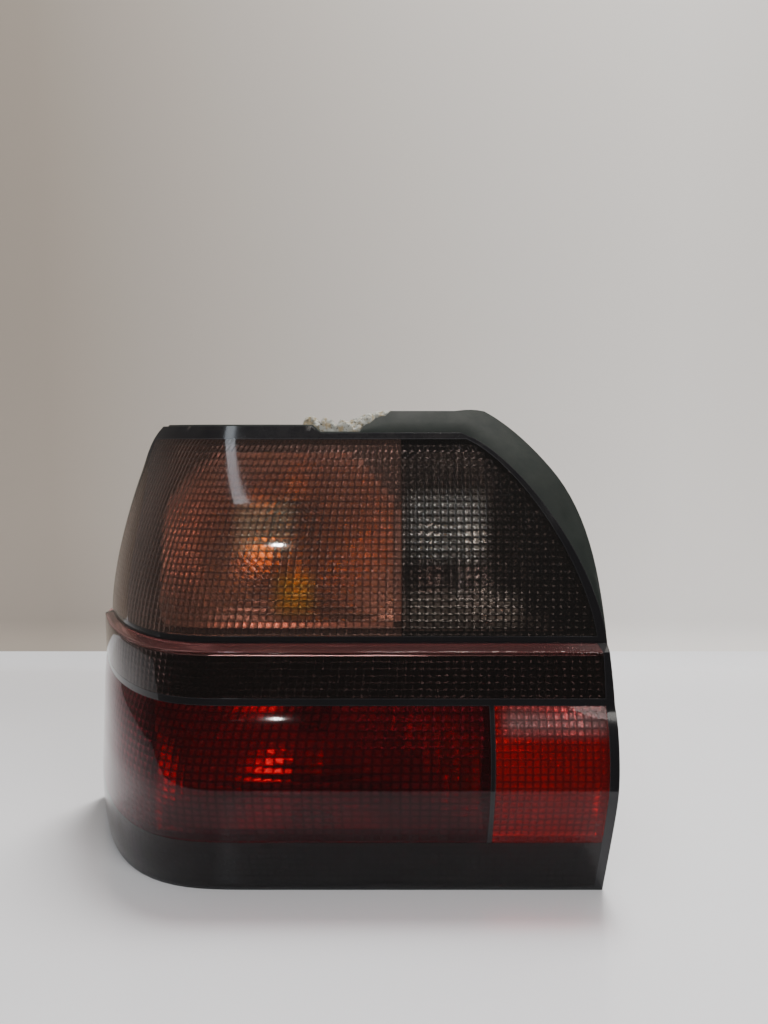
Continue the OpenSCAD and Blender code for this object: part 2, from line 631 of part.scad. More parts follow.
// Depth behind the lens wall at a place, and a bowl whose front keeps behind the lens along its left side
function behind_lens(x, z) = front(z) + deep(x - lean_in(x, z)) + wall_depth(z) + bowl_gap;
module lens_bowl(p, share, x, cell, head, clip = []) {
    y_foot = behind_lens(x[0], cell[0] - bowl_gap);
    bowl(p, focus(share, cell), x, cell, y_foot, behind_lens(x[0], head), clip);
}
upper_cell = [sill_z + bowl_gap, head_z - 3 * bowl_gap];
lower_cell = [red_z + bowl_gap, crease_z - bowl_gap];
module reflector_turn() {
    x = [-bowl_left, split_x - bowl_gap / 2];
    lens_bowl([turn_x, turn_z], 0.58, x, upper_cell, head_z);
}
module reflector_reverse() {
    x = [split_x + bowl_gap / 2, right_x - 22];
    slant = [[right_x - 26, sill_z], [shoulder_x + 10, head_z]];
    lens_bowl([reverse_x, reverse_z], 0.55, x, upper_cell, head_z,
        [slant[0], slant[1], [right_x, head_z + 1], [right_x, sill_z]]);
}
module reflector_tail() {
    x = [-bowl_left, divider_x - divider_w - bowl_gap / 2];
    lens_bowl([tail_x, low_z], 0.99, x, lower_cell, crease_z);
}
module reflector_fog() {
    x = [divider_x - divider_w + bowl_gap / 2, right_x - rim_w - bowl_gap];
    lens_bowl([fog_x, low_z], 0.56, x, lower_cell, crease_z);
}

// Bulbs: glass, cap and foot contact in one piece
module bulb(p) {
    foot = plate_front - strip_t;
    profile = [[0, 0], [3.5, 0], [3.5, 1.2], [cap_r - 1, 1.2], [cap_r, 2.2], [cap_r, cap_l],
        [cap_r - 0.8, cap_l + 1],
        each [for (t = steps(-48, 90, 12)) [glass_r * cos(t), bulb_l - glass_r + glass_r * sin(t)]]];
    color([0.85, 0.6, 0.3]) translate([p[0], foot - origin_y, p[1]]) rotate([90, 0, 0])
        rotate_extrude() polygon(profile);
}
module bulb_turn() bulb(bulbs[0]);
module bulb_reverse() bulb(bulbs[1]);
module bulb_tail() bulb(bulbs[2]);
module bulb_fog() bulb(bulbs[3]);

// Contact strips on the inner face of the carrier plate
strip_y = [plate_front - strip_t, plate_front];
module strip(p, q) {
    w = strip_w / 2;
    block([min(p[0], q[0]) - w, max(p[0], q[0]) + w], strip_y, [min(p[1], q[1]) - w, max(p[1], q[1]) + w]);
}
function blade_x(k) = inlet_x + (k - 2) * blade_pitch;
module feed_strip(p, k) {
    color([0.75, 0.62, 0.35]) union() {
        strip(p, [blade_x(k), p[1]]);
        strip([blade_x(k), p[1]], [blade_x(k), inlet_z]);
    }
}
module feed_strip_turn() feed_strip(bulbs[0], 0);
module feed_strip_tail() feed_strip(bulbs[2], 1);
module feed_strip_fog() feed_strip(bulbs[3], 3);
module feed_strip_reverse() feed_strip(bulbs[1], 4);

// The earth strip runs round the outside of the feed strips and ends under the rim of each sleeve
sleeve_r = cap_r + fit;
earth_high = turn_z + 16;
earth_low = low_z - 16;
module earth_tab(p, z) {
    end = p[1] + sign(z - p[1]) * (sleeve_r + strip_w / 2);
    strip([p[0], z], [p[0], end]);
}
module earth_strip() {
    color([0.72, 0.6, 0.36]) union() {
        strip([inlet_x, earth_low], [inlet_x, earth_high]);
        strip([turn_x, earth_high], [reverse_x, earth_high]);
        strip([tail_x, earth_low], [fog_x, earth_low]);
        earth_tab(bulbs[0], earth_high);
        earth_tab(bulbs[1], earth_high);
        earth_tab(bulbs[2], earth_low);
        earth_tab(bulbs[3], earth_low);
    }
}

// Sleeves that hold the bulb caps: each stands on the earth strip and is notched over its feed strip
notch_h = 1.2;
module notch(p, toward, top) {
    w = strip_w / 2 + fit;
    x = toward > 0 ? [p[0], p[0] + 2 * tower_r] : [p[0] - 2 * tower_r, p[0]];
    block(x, [plate_front - strip_t - top, plate_front], [p[1] - w, p[1] + w]);
}
module sleeve(p, toward) {
    foot = plate_front - strip_t;
    color([0.7, 0.7, 0.68]) difference() {
        rod(p[0], p[1], sleeve_r + sleeve_t, foot - cap_l + 3, foot);
        rod(p[0], p[1], sleeve_r, foot - cap_l, foot + 1);
        notch(p, toward, notch_h);
    }
}
module socket_turn() sleeve(bulbs[0], 1);
module socket_reverse() sleeve(bulbs[1], -1);
module socket_tail() sleeve(bulbs[2], 1);
module socket_fog() sleeve(bulbs[3], -1);

// Carrier plate: outline with one corner cut along the shoulder
module plate_outline(m) {
    x0 = plate_left + m;
    x1 = plate_right - m;
    z0 = plate_foot + m;
    z1 = plate_head - m;
    c = 4;
    s = m * 0.45;
    polygon([[x0 + c, z0], [x1 - c, z0], [x1, z0 + c], [x1, plate_cut_z - s], [plate_cut_x - s, z1],
        [x0 + c, z1], [x0, z1 - c], [x0, z0 + c]]);
}
plate_cut_z = 150;
plate_cut_x = reverse_x + 16;
carrier_grip = 9;
rib_h = 3;
inlet_w = 4 * blade_pitch + 6;
inlet_x0 = inlet_x - inlet_w / 2;
inlet_x1 = inlet_x + inlet_w / 2;
blade_w = 2.8;
blade_t = 0.8;
blade_l = 12;
module bulb_carrier() {
    color([0.12, 0.12, 0.13]) difference() {
        union() {
            along_y(plate_front, plate_back) plate_outline(0);
            for (p = bulbs) rod(p[0], p[1], tower_r, plate_front - tower_h, plate_front + 1);
            for (p = bulbs) rod(p[0], p[1], tower_r, plate_back - 1, plate_back + rib_h);
            block([inlet_x0 - inlet_t, inlet_x1 + inlet_t], [plate_back - 1, plate_back + inlet_d],
                [inlet_z - inlet_h / 2 - inlet_t, inlet_z + inlet_h / 2 + inlet_t]);
            block([plate_left + 18, plate_right - 18], [plate_back - 1, plate_back + rib_h],
                [inlet_z - 29, inlet_z - 27]);
            block([plate_left + 18, plate_right - 40], [plate_back - 1, plate_back + rib_h],
                [inlet_z + 27, inlet_z + 29]);
            for (x = [plate_left + 8, plate_right - 11])
                block([x, x + hook_t], [plate_back - 1, plate_back + carrier_grip],
                    [inlet_z - 12, inlet_z + 2]);
        }
        for (p = bulbs) rod(p[0], p[1], sleeve_r + sleeve_t + fit, plate_front - tower_h - 1, plate_front);
        notch(bulbs[0], 1, notch_h);
        notch(bulbs[1], -1, notch_h);
        notch(bulbs[2], 1, notch_h);
        notch(bulbs[3], -1, notch_h);
        for (p = [bulbs[0], bulbs[1]]) earth_notch(p, 1);
        for (p = [bulbs[2], bulbs[3]]) earth_notch(p, -1);
        block([inlet_x0, inlet_x1], [plate_back, plate_back + inlet_d + 1],
            [inlet_z - inlet_h / 2, inlet_z + inlet_h / 2]);
        for (k = [0:4]) blade(k, fit, plate_front - 1);
    }
}
module earth_notch(p, toward) {
    w = strip_w / 2 + fit;
    z = toward > 0 ? [p[1], p[1] + 2 * tower_r] : [p[1] - 2 * tower_r, p[1]];
    block([p[0] - w, p[0] + w], [plate_front - strip_t - fit, plate_front], z);
}
module blade(k, grow, y0) {
    x = blade_x(k);
    block([x - blade_t / 2 - grow, x + blade_t / 2 + grow], [y0, plate_back + blade_l],
        [inlet_z - blade_w / 2 - grow, inlet_z + blade_w / 2 + grow]);
}
module inlet_blades() {
    color([0.78, 0.7, 0.45]) for (k = [0:4]) blade(k, 0, plate_front);
}

module carrier_seal() {
    color([0.08, 0.08, 0.08]) difference() {
        along_y(back_y, plate_front) plate_outline(1);
        along_y(back_y - 1, plate_front + 1) plate_outline(1 + seal_w);
    }
}

// Studs, put in from inside: each head lies on the inner face of the rear wall, a thicker shank fills
// the bore of its boss, and the threaded end stands out behind
module mounting_studs() {
    head_r = 5.5;
    head_t = 1.6;
    color([0.7, 0.7, 0.68]) for (p = studs) union() {
        rod(p[0], p[1], shank_r, inner_y - head_t / 2, back_y + boss_h);
        rod(p[0], p[1], stud_d / 2, back_y, back_y + boss_h + stud_l);
        rod(p[0], p[1], head_r, inner_y - head_t, inner_y);
    }
}

// Soft vent caps over the spigots
module vent_cap(p) {
    cap = 7;
    lift = 2;
    end = back_y + spigot_h;
    color([0.1, 0.1, 0.1]) difference() {
        union() {
            rod(p[0], p[1], cap, back_y + lift, end + 2);
            rod(p[0], p[1], cap - 2, end + 1, end + 4);
        }
        rod(p[0], p[1], spigot_r + fit, back_y + lift - 1, end);
    }
}
module vent_cap_high() vent_cap(vents[0]);
module vent_cap_low() vent_cap(vents[1]);

housing();
seal_remnant();
lens_frame();
lens_turn();
lens_reverse();
lens_mid_band();
lens_tail();
lens_fog();
lens_foot_band();
reflector_turn();
reflector_reverse();
reflector_tail();
reflector_fog();
bulb_carrier();
carrier_seal();
socket_turn();
socket_reverse();
socket_tail();
socket_fog();
bulb_turn();
bulb_reverse();
bulb_tail();
bulb_fog();
earth_strip();
feed_strip_turn();
feed_strip_reverse();
feed_strip_tail();
feed_strip_fog();
inlet_blades();
mounting_studs();
vent_cap_high();
vent_cap_low();
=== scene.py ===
# %% [markdown]
# # A smoked tail light cluster
# The real lamp is a coloured lens welded to a dark tub, with reflector bowls and bulbs behind it. The CAD
# frame gives every size and place. This script builds again what the frame only has in plain form: the lens
# with its pillow optics, the torn foam, the smooth tub and the bulbs. All the other pieces keep their CAD
# shape and only get better finishes.

# %% Load the frame
import bmesh
import bpy
import math
import numpy as np
from mathutils import Matrix, Vector, noise as lumps


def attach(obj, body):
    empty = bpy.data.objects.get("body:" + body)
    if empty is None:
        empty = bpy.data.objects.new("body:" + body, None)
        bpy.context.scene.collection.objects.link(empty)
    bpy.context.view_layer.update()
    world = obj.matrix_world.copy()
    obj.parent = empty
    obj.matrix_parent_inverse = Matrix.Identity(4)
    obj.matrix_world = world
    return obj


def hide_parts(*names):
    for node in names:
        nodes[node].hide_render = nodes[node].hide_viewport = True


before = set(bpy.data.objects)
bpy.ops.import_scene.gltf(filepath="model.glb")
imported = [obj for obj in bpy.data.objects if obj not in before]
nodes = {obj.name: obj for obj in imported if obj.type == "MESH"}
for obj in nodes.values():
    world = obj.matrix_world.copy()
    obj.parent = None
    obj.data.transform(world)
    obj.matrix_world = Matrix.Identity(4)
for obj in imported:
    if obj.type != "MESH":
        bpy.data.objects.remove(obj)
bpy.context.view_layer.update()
MM = 0.001
print("frame loaded,", len(nodes), "nodes")

# %% [markdown]
# ## The lens as functions
# The lens wraps round the corner of the car, bulges over its red half and leans back above its ledge. It
# could be sculpted, or subdivided from a cage. Here it is written as a few functions in millimetres, the same
# as in the CAD source, because then each window, band and rim meets its neighbour exactly. a is the way along
# the lens from its reference line, z is the height, and q the depth behind the outer face.

# %% Sizes of the lens
LENS_H, LENS_T, ORIGIN_Y = 280.5, 3.0, 72.0
WRAP_X, WRAP_TURN, WRAP_MID, WRAP_POWER = 69.0, 74.0, 86.0, 3.2
TUCK_Z, TUCK_IN, TUCK_RUN = (0, 90, 150, 250.5, 280.5), (0, 11.8, 9.6, 19.6, 15), 110.0
TRAIL_FOOT, TRAIL_TOP, TRAIL_W, TRAIL_GAP = 150.0, 80.0, 4.0, 0.5
BULGE_Z, FOOT_Y, BULGE_K, CREASE_Y = 80.0, 27.0, 6.0, 10.5
LEDGE_Z, LEDGE_Y, LEDGE_D, LEDGE_TOP = 152.0, 12.5, 11.8, 153.8
BROW_Y, BROW_POWER = 36.0, 2.9
print("lens", LENS_H, "mm high with a wall of", LENS_T, "mm")

# %% Sizes of the windows
RED_Z, CREASE_Z, STRIPE_Z, SILL_Z, HEAD_Z = 38.3, 121.0, 125.3, 158.0, 272.5
RIGHT_X, RIM_W, RIM_END, FOOT_RIM = 132.6, 5.6, 2.1, 2.2
CORNER_Z, CORNER_IN, CORNER_POWER = 108.0, 3.9, 1.5
SHOULDER_X, SHOULDER_POWER, TOP_STEP, STEP_X, STEP_W = 47.0, 1.42, 4.3, 42.0, 5.0
DIVIDER_X, DIVIDER_W, SPLIT_X, BOND = 62.9, 2.8, 10.5, 0.1
print("windows from", RED_Z, "to", HEAD_Z, "mm above the foot")

# %% [markdown]
# ## Wrap and profile
# Seen from above, the lens runs straight across the back of the car and then turns along its side. Seen from
# the side, its foot is drawn back, its middle bulges, and its brow leans back above the ledge. Curves drawn
# by eye would do for a matt part, but a glossy lens shows every kink in its highlights. So the heading of
# the wrap grows smoothly with the way, and the profile has kinks only where the real lens has them, at the
# crease and at the ledge.

# %% Plan curve of the wrap
PLAN_STEP = 2.0

def heading(s):
    return np.radians(WRAP_TURN / (1 + (WRAP_MID / np.maximum(s, 1e-3)) ** WRAP_POWER))

WAY = np.arange(0.0, 301.0, PLAN_STEP)
TURNS = heading(WAY[:-1] + PLAN_STEP / 2)
PLAN_X = np.concatenate([[0], np.cumsum(PLAN_STEP * np.cos(TURNS))])
PLAN_Y = np.concatenate([[0], np.cumsum(PLAN_STEP * np.sin(TURNS))])
print("the wrap turns by", round(math.degrees(TURNS[-1]), 1), "degrees")

# %% Profile from foot to top
def smooth(t):
    c = np.clip(t, 0, 1)
    return c * c * (3 - 2 * c)

def front(z):
    u = np.clip((BULGE_Z - z) / BULGE_Z, 0, 1)
    below = FOOT_Y * (np.sqrt(1 + (BULGE_K * u) ** 2) - 1) / (math.sqrt(1 + BULGE_K ** 2) - 1)
    middle = CREASE_Y * ((z - BULGE_Z) / (CREASE_Z - BULGE_Z)) ** 2
    band = CREASE_Y + (LEDGE_Y - CREASE_Y) * (z - CREASE_Z) / (LEDGE_Z - CREASE_Z)
    lift = np.maximum(0, (z - LEDGE_TOP) / (LENS_H - LEDGE_TOP))
    above = LEDGE_Y + LEDGE_D + BROW_Y * lift ** BROW_POWER
    upper = np.where(z < CREASE_Z, middle, np.where(z < LEDGE_TOP, band, above))
    return np.where(z < BULGE_Z, below, upper)

def wall_depth(z):
    slope = np.where(z >= LEDGE_TOP, front(z + 1) - front(z), front(z) - front(z - 1))
    return LENS_T * np.sqrt(1 + slope ** 2)

print("the brow leans back by", round(float(front(LENS_H)), 1), "mm")

# %% Place of a point on the lens
def tuck(z):
    total = np.full(np.shape(z), float(TUCK_IN[0]))
    for k in range(len(TUCK_Z) - 1):
        total = total + (TUCK_IN[k + 1] - TUCK_IN[k]) * smooth((z - TUCK_Z[k]) / (TUCK_Z[k + 1] - TUCK_Z[k]))
    return total

def at(a, z, y, q):
    s = np.maximum(0, -WRAP_X - a)
    g = np.where(s > 0, heading(s), 0)
    lean = tuck(z) * smooth(s / TUCK_RUN)
    x = np.where(s > 0, -WRAP_X - np.interp(s, WAY, PLAN_X), a)
    depth = y + np.interp(s, WAY, PLAN_Y) + q * np.cos(g) - ORIGIN_Y
    return np.stack(np.broadcast_arrays(x + lean + q * np.sin(g), depth, z), -1) * MM

print("right edge at", at(np.array(RIGHT_X), np.array(BULGE_Z), 0.0, 0.0).round(4), "m")

# %% [markdown]
# ## Edges of the lens
# The right edge rises almost straight and then rounds into a broad shoulder, and the trailing edge on the
# left slants forward as it rises. Both could be traced point by point. A superellipse gives the shoulder in
# one line, and rim, windows and band all read the same edges, each set in by its own width, so that no two
# of them overlap.

# %% Edges of the windows
def shoulder(z, rx, top):
    u = np.clip((z - LEDGE_TOP) / (top - LEDGE_TOP), 0, 1)
    return SHOULDER_X + rx * np.maximum(0, 1 - u ** SHOULDER_POWER) ** (1 / SHOULDER_POWER)

def edge_a(z):
    corner = CORNER_IN * np.maximum(0, (z - CORNER_Z) / (LEDGE_Z - CORNER_Z)) ** CORNER_POWER
    high = shoulder(z, RIGHT_X - RIM_END - SHOULDER_X, LENS_H - TOP_STEP)
    return np.where(z < LEDGE_TOP, RIGHT_X - corner, high)

def window_a(z):
    low = RIGHT_X - RIM_W - (RIGHT_X - edge_a(z)) * RIM_END / CORNER_IN
    high = shoulder(z, RIGHT_X - RIM_END - RIM_W - SHOULDER_X, HEAD_Z + 1)
    return np.where(z < LEDGE_TOP, low, high)

def rim_edge(z):
    return window_a(z) - BOND

def trail_a(z):
    depth = TRAIL_FOOT + (TRAIL_TOP - TRAIL_FOOT) * z / LENS_H
    return -WRAP_X - np.interp(depth - front(z), PLAN_Y, WAY)

def trail_edge(z):
    return trail_a(z) + TRAIL_W + TRAIL_GAP

def top_z(a):
    return LENS_H - TOP_STEP * smooth((a + STEP_X) / STEP_W + 0.5)

print("lens runs from", round(float(trail_a(0.0)), 1), "to", RIGHT_X, "mm along the wrap")

# %% [markdown]
# ## Sheets of quads
# A moulded wall is a smooth outer face, an inner face and a rim between them. Blender's Solidify modifier
# could thicken a single sheet, but here the inner face has its own form, so both faces come from one grid of
# points each and are sewn together along their border.

# %% Sheets and solids
SHARP = math.radians(38)

def quads(ni, nj, start=0, flip=False):
    i, j = np.meshgrid(np.arange(ni - 1), np.arange(nj - 1), indexing="ij")
    a = start + i * nj + j
    ring = [a, a + nj, a + nj + 1, a + 1]
    return np.stack(ring[::-1] if flip else ring, -1).reshape(-1, 4)

def border(ni, nj):
    left = [(0, j) for j in range(nj)]
    top = [(i, nj - 1) for i in range(1, ni)]
    right = [(ni - 1, j) for j in range(nj - 2, -1, -1)]
    foot = [(i, 0) for i in range(ni - 2, 0, -1)]
    return [i * nj + j for i, j in left + top + right + foot]

def shell(outer, inner):
    ni, nj = outer.shape[:2]
    n = ni * nj
    rim = border(ni, nj)
    sides = [(p, p + n, q + n, q) for p, q in zip(rim, rim[1:] + rim[:1])]
    points = np.concatenate([outer.reshape(-1, 3), inner.reshape(-1, 3)])
    return points, np.concatenate([quads(ni, nj, 0, True), quads(ni, nj, n), np.array(sides)])

print("a sheet of 3 by 3 points has", len(quads(3, 3)), "quads")

# %% [markdown]
# ## From points to a piece
# In Blender a mesh holds points and faces, and an object puts it into the scene. Each new piece also has to
# ride on a body and hide the CAD part it stands for, and make gives it its finishes. That could be done after
# each piece, but in one function no piece can miss it.

# %% Piece from points and faces
def place_piece(name, mesh, replaced):
    obj = bpy.data.objects.new(name, mesh)
    bpy.context.scene.collection.objects.link(obj)
    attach(obj, "root")
    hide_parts(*replaced)
    return obj

def smooth_faces(mesh):
    mesh.polygons.foreach_set("use_smooth", np.ones(len(mesh.polygons), bool))

def make(name, points, faces, mats, replaced, index=None, cell=None):
    mesh = bpy.data.meshes.new(name)
    mesh.from_pydata(np.asarray(points).reshape(-1, 3).tolist(), [], faces)
    for m in mats:
        mesh.materials.append(m)
    if index is not None:
        mesh.polygons.foreach_set("material_index", np.asarray(index, np.int32))
    smooth_faces(mesh)
    mesh.update()
    mesh.set_sharp_from_angle(angle=SHARP)
    if cell is not None:
        mesh.attributes.new("cell", "FLOAT", "POINT").data.foreach_set("value", np.asarray(cell, np.float32))
    return place_piece(name, mesh, replaced)

print("pieces keep an edge sharper than", round(math.degrees(SHARP)), "degrees")

# %% [markdown]
# ## Pillow windows
# The inside of each window is a field of small domes that spread the light of the bulb. A bump map would be
# lighter, but real domes bend the view of the bowl behind them, and that is what makes the glitter. Each
# vertex also stores how far it is from the border of its cell, in an attribute that the lens finish reads: 0
# at the border, 1 in the middle, CLEAR on the outer face and BLIND on the side walls.

# %% Cells of the inner face
# BLIND gives the side walls the full painted crease shade of the lens finish.
CLEAR, BLIND = 2.0, -6.0

def pillows(place, columns, rows, height, sub=4):
    """place(u, v, q) gives points: u runs from right to left, v from foot to top, q is the depth in mm."""
    t = np.linspace(0, 1, sub + 1)
    i, j, s, r = np.meshgrid(np.arange(columns), np.arange(rows), t, t, indexing="ij")
    dome = 1 - ((2 * s - 1) ** 2 + (2 * r - 1) ** 2) / 2
    points = place((i + s) / columns, (j + r) / rows, height * dome).reshape(-1, 3)
    cell = 2 * np.minimum(np.minimum(s, 1 - s), np.minimum(r, 1 - r)).ravel()
    one = quads(sub + 1, sub + 1)
    first = np.arange(columns * rows) * (sub + 1) ** 2
    return points, (one[None] + first[:, None, None]).reshape(-1, 4), cell

print("cells are marked", CLEAR, "on the outer face and", BLIND, "on the side walls")

# %% A whole window
def window(name, place, columns, rows, height, slot, node, sub=4):
    u, v = np.meshgrid(np.linspace(0, 1, columns + 1), np.linspace(0, 1, 2 * rows + 1), indexing="ij")
    outer, inner = place(u, v, None), place(u, v, 0)
    points, faces = shell(outer, inner)
    sheet_faces = columns * 2 * rows
    keep = np.ones(len(faces), bool)
    keep[sheet_faces:2 * sheet_faces] = False
    dome_points, dome_faces, cell = pillows(place, columns, rows, height, sub)
    every = np.concatenate([faces[keep], dome_faces + len(points)])
    half = len(points) // 2
    cell = np.concatenate([np.full(half, CLEAR), np.full(half, BLIND), cell])
    make(name, np.concatenate([points, dome_points]), every.tolist(), [M[slot]], [node], cell=cell)
    print(name, len(every) * 2, "triangles")

# %% [markdown]
# ## Shader helpers
# Materials are trees of nodes. They could be wired by hand in the editor. In a script a few short functions
# for the nodes that come again and again keep the trees readable.

# %% Node helpers
def link(tree, a, b):
    tree.links.new(a, b)

def math_node(tree, operation, a, b=None, clamp=False):
    n = tree.nodes.new("ShaderNodeMath")
    n.operation, n.use_clamp = operation, clamp
    for k, v in enumerate((a, b)):
        if isinstance(v, (int, float)):
            n.inputs[k].default_value = v
        elif v is not None:
            link(tree, v, n.inputs[k])
    return n.outputs[0]

def ramp(tree, value, low, high, to_low=0.0, to_high=1.0):
    n = tree.nodes.new("ShaderNodeMapRange")
    link(tree, value, n.inputs["Value"])
    for key, v in (("From Min", low), ("From Max", high), ("To Min", to_low), ("To Max", to_high)):
        n.inputs[key].default_value = v
    return n.outputs["Result"]

def mix_color(tree, factor, a, b):
    n = tree.nodes.new("ShaderNodeMix")
    n.data_type = "RGBA"
    for key, v in ((0, factor), (6, a), (7, b)):
        if isinstance(v, tuple):
            n.inputs[key].default_value = (*v, 1.0)
        else:
            link(tree, v, n.inputs[key])
    return n.outputs[2]

def noise(tree, where, scale, detail, rough=0.5):
    n = tree.nodes.new("ShaderNodeTexNoise")
    n.inputs["Scale"].default_value = scale
    n.inputs["Detail"].default_value = detail
    n.inputs["Roughness"].default_value = rough
    link(tree, where, n.inputs["Vector"])
    return n.outputs["Fac"]

def own_place(tree):
    """Coordinates on the object itself, so a pattern stays on the piece in every view."""
    return tree.nodes.new("ShaderNodeTexCoord").outputs["Object"]

print("node helpers ready")

# %% [markdown]
# ## Wear
# A lamp that has been on the road has fine hair scratches, patchy gloss and dust on what faces up, and here
# its edges are made paler as well. Painted image masks could carry that. Here it is one node group that gives
# five masks, built once and used by every material with its own strength.

# %% The wear group
GRAIN_SCALE, PATINA_SCALE, DUST_SCALE = 1400, 22, 90
HAIRS = ((0.5, 420), (2.1, 300), (1.3, 520))
HAIR_STRETCH, HAIR_FROM, HAIR_TO = 0.08, 0.765, 0.8
EDGE_RADIUS, EDGE_FROM, EDGE_TO = 0.0009, 0.985, 0.86
FACES_UP, DUST_PATCH = (0.2, 0.9), (0.35, 0.75)

def hair_mask(g, where):
    lines = []
    for turn, scale in HAIRS:
        m = g.nodes.new("ShaderNodeMapping")
        m.inputs["Rotation"].default_value = (0.0, turn, turn / 3)
        m.inputs["Scale"].default_value = (HAIR_STRETCH, 1.0, 1.0)
        link(g, where, m.inputs["Vector"])
        lines.append(ramp(g, noise(g, m.outputs["Vector"], scale, 1), HAIR_FROM, HAIR_TO))
    return math_node(g, "MAXIMUM", math_node(g, "MAXIMUM", lines[0], lines[1]), lines[2])

def edge_mask(g, normal):
    bevel = g.nodes.new("ShaderNodeBevel")
    bevel.samples = 4
    bevel.inputs["Radius"].default_value = EDGE_RADIUS
    dot = g.nodes.new("ShaderNodeVectorMath")
    dot.operation = "DOT_PRODUCT"
    link(g, bevel.outputs[0], dot.inputs[0])
    link(g, normal, dot.inputs[1])
    return ramp(g, dot.outputs["Value"], EDGE_FROM, EDGE_TO)

def wear_group():
    g = bpy.data.node_groups.new("surface_wear", "ShaderNodeTree")
    for name in ("Grain", "Patina", "Scratch", "Dust", "Edge"):
        g.interface.new_socket(name, in_out="OUTPUT", socket_type="NodeSocketFloat")
    out = g.nodes.new("NodeGroupOutput")
    where = own_place(g)
    normal = g.nodes.new("ShaderNodeNewGeometry").outputs["Normal"]
    split = g.nodes.new("ShaderNodeSeparateXYZ")
    link(g, normal, split.inputs[0])
    upper = ramp(g, split.outputs["Z"], *FACES_UP)
    patches = ramp(g, noise(g, where, DUST_SCALE, 6, 0.7), *DUST_PATCH)
    link(g, noise(g, where, GRAIN_SCALE, 2), out.inputs["Grain"])
    link(g, noise(g, where, PATINA_SCALE, 5, 0.6), out.inputs["Patina"])
    link(g, hair_mask(g, where), out.inputs["Scratch"])
    link(g, math_node(g, "MULTIPLY", upper, patches), out.inputs["Dust"])
    link(g, edge_mask(g, normal), out.inputs["Edge"])
    return g

WEAR = wear_group()
print("wear group with", len(WEAR.nodes), "nodes")

# %% [markdown]
# ## Opaque finishes
# Moulded plastic, rubber, steel, brass and the metallised bowls differ in colour, gloss and grain, and not in
# how they wear. Each could have a node tree of its own, but then a change of the wear would have to be made
# many times. One function makes them all: two tones mixed by the patina, edges mixed towards a paler colour,
# a veil of dust, a roughness that varies, and a fine grain as bump.

# %% Plain opaque finish
DUST = (0.55, 0.52, 0.46)
DARKER, PALE_EDGE_SHARE, HAIR_ROUGH, GRAIN_DEPTH = 0.72, 0.7, 0.2, 0.0003
TONE_FROM, TONE_TO, RUB_FROM, RUB_TO = 0.35, 0.65, 0.3, 0.7

def base(name):
    m = bpy.data.materials.new(name)
    m.use_nodes = True
    tree = m.node_tree
    w = tree.nodes.new("ShaderNodeGroup")
    w.node_tree = WEAR
    return m, tree, tree.nodes["Principled BSDF"], w.outputs

def bump(tree, height, strength, distance, shader):
    n = tree.nodes.new("ShaderNodeBump")
    n.inputs["Strength"].default_value = strength
    n.inputs["Distance"].default_value = distance
    link(tree, height, n.inputs["Height"])
    link(tree, n.outputs[0], shader.inputs["Normal"])

def solid(name, color, edge, rough, metal=0.0, dusty=0.35, grain=0.12, spread=0.15, coat=0.0, gloss=0.5):
    m, tree, shader, wear = base(name)
    dark = tuple(c * DARKER for c in color)
    tone = mix_color(tree, ramp(tree, wear["Patina"], TONE_FROM, TONE_TO), dark, color)
    # The edges are mixed towards the paler edge colour.
    tone = mix_color(tree, math_node(tree, "MULTIPLY", wear["Edge"], PALE_EDGE_SHARE), tone, edge)
    tone = mix_color(tree, math_node(tree, "MULTIPLY", wear["Dust"], dusty), tone, DUST)
    link(tree, tone, shader.inputs["Base Color"])
    shader.inputs["Metallic"].default_value = metal
    shader.inputs["Coat Weight"].default_value = coat
    shader.inputs["Specular IOR Level"].default_value = gloss
    rub = ramp(tree, wear["Patina"], RUB_FROM, RUB_TO, rough - spread / 2, rough + spread / 2)
    hairs = math_node(tree, "MULTIPLY", wear["Scratch"], HAIR_ROUGH)
    link(tree, math_node(tree, "ADD", rub, hairs, clamp=True), shader.inputs["Roughness"])
    bump(tree, wear["Grain"], grain, GRAIN_DEPTH, shader)
    return m

print("opaque finishes mix", len(WEAR.interface.items_tree), "masks")

# %% [markdown]
# ## Lens finish
# The lens is smoked, amber or red acrylic. A glossy coloured plastic would look painted, so the shader lets
# light through and bends it. Light Path lets shadow rays pass in the lens's own colour, which lights the
# bowls without slow caustics. The cell attribute paints shade into the creases between the pillows, and paler
# oblongs are painted reflections of the bowls, at the places where they throw light back.

# %% Tinted lens
CELL_HAZE, PATINA_HAZE, HAIR_HAZE, HAZE_FROM, HAZE_TO = 0.07, 0.05, 0.12, 0.4, 0.75
SHADE, LENS_GLOSS, CREASE_TO, ON_DOMES, OFF_DOMES = 0.9, 0.15, 0.5, 1.0, 1.5
GLOW_OUT, GLOW_IN = 4, 5

def bowl_light_mask(tree, x, z, wide, high):
    """Mask of a painted bowl reflection: a soft oblong on the lens in millimetres, 1 inside and 0 outside."""
    split = tree.nodes.new("ShaderNodeSeparateXYZ")
    link(tree, own_place(tree), split.inputs[0])
    sides = []
    for axis, centre, half in (("X", x, wide / 2), ("Z", z, high / 2)):
        off = math_node(tree, "ABSOLUTE", math_node(tree, "SUBTRACT", split.outputs[axis], centre * MM))
        sides.append(ramp(tree, off, (half + GLOW_OUT) * MM, (half - GLOW_IN) * MM))
    return math_node(tree, "MULTIPLY", sides[0], sides[1])

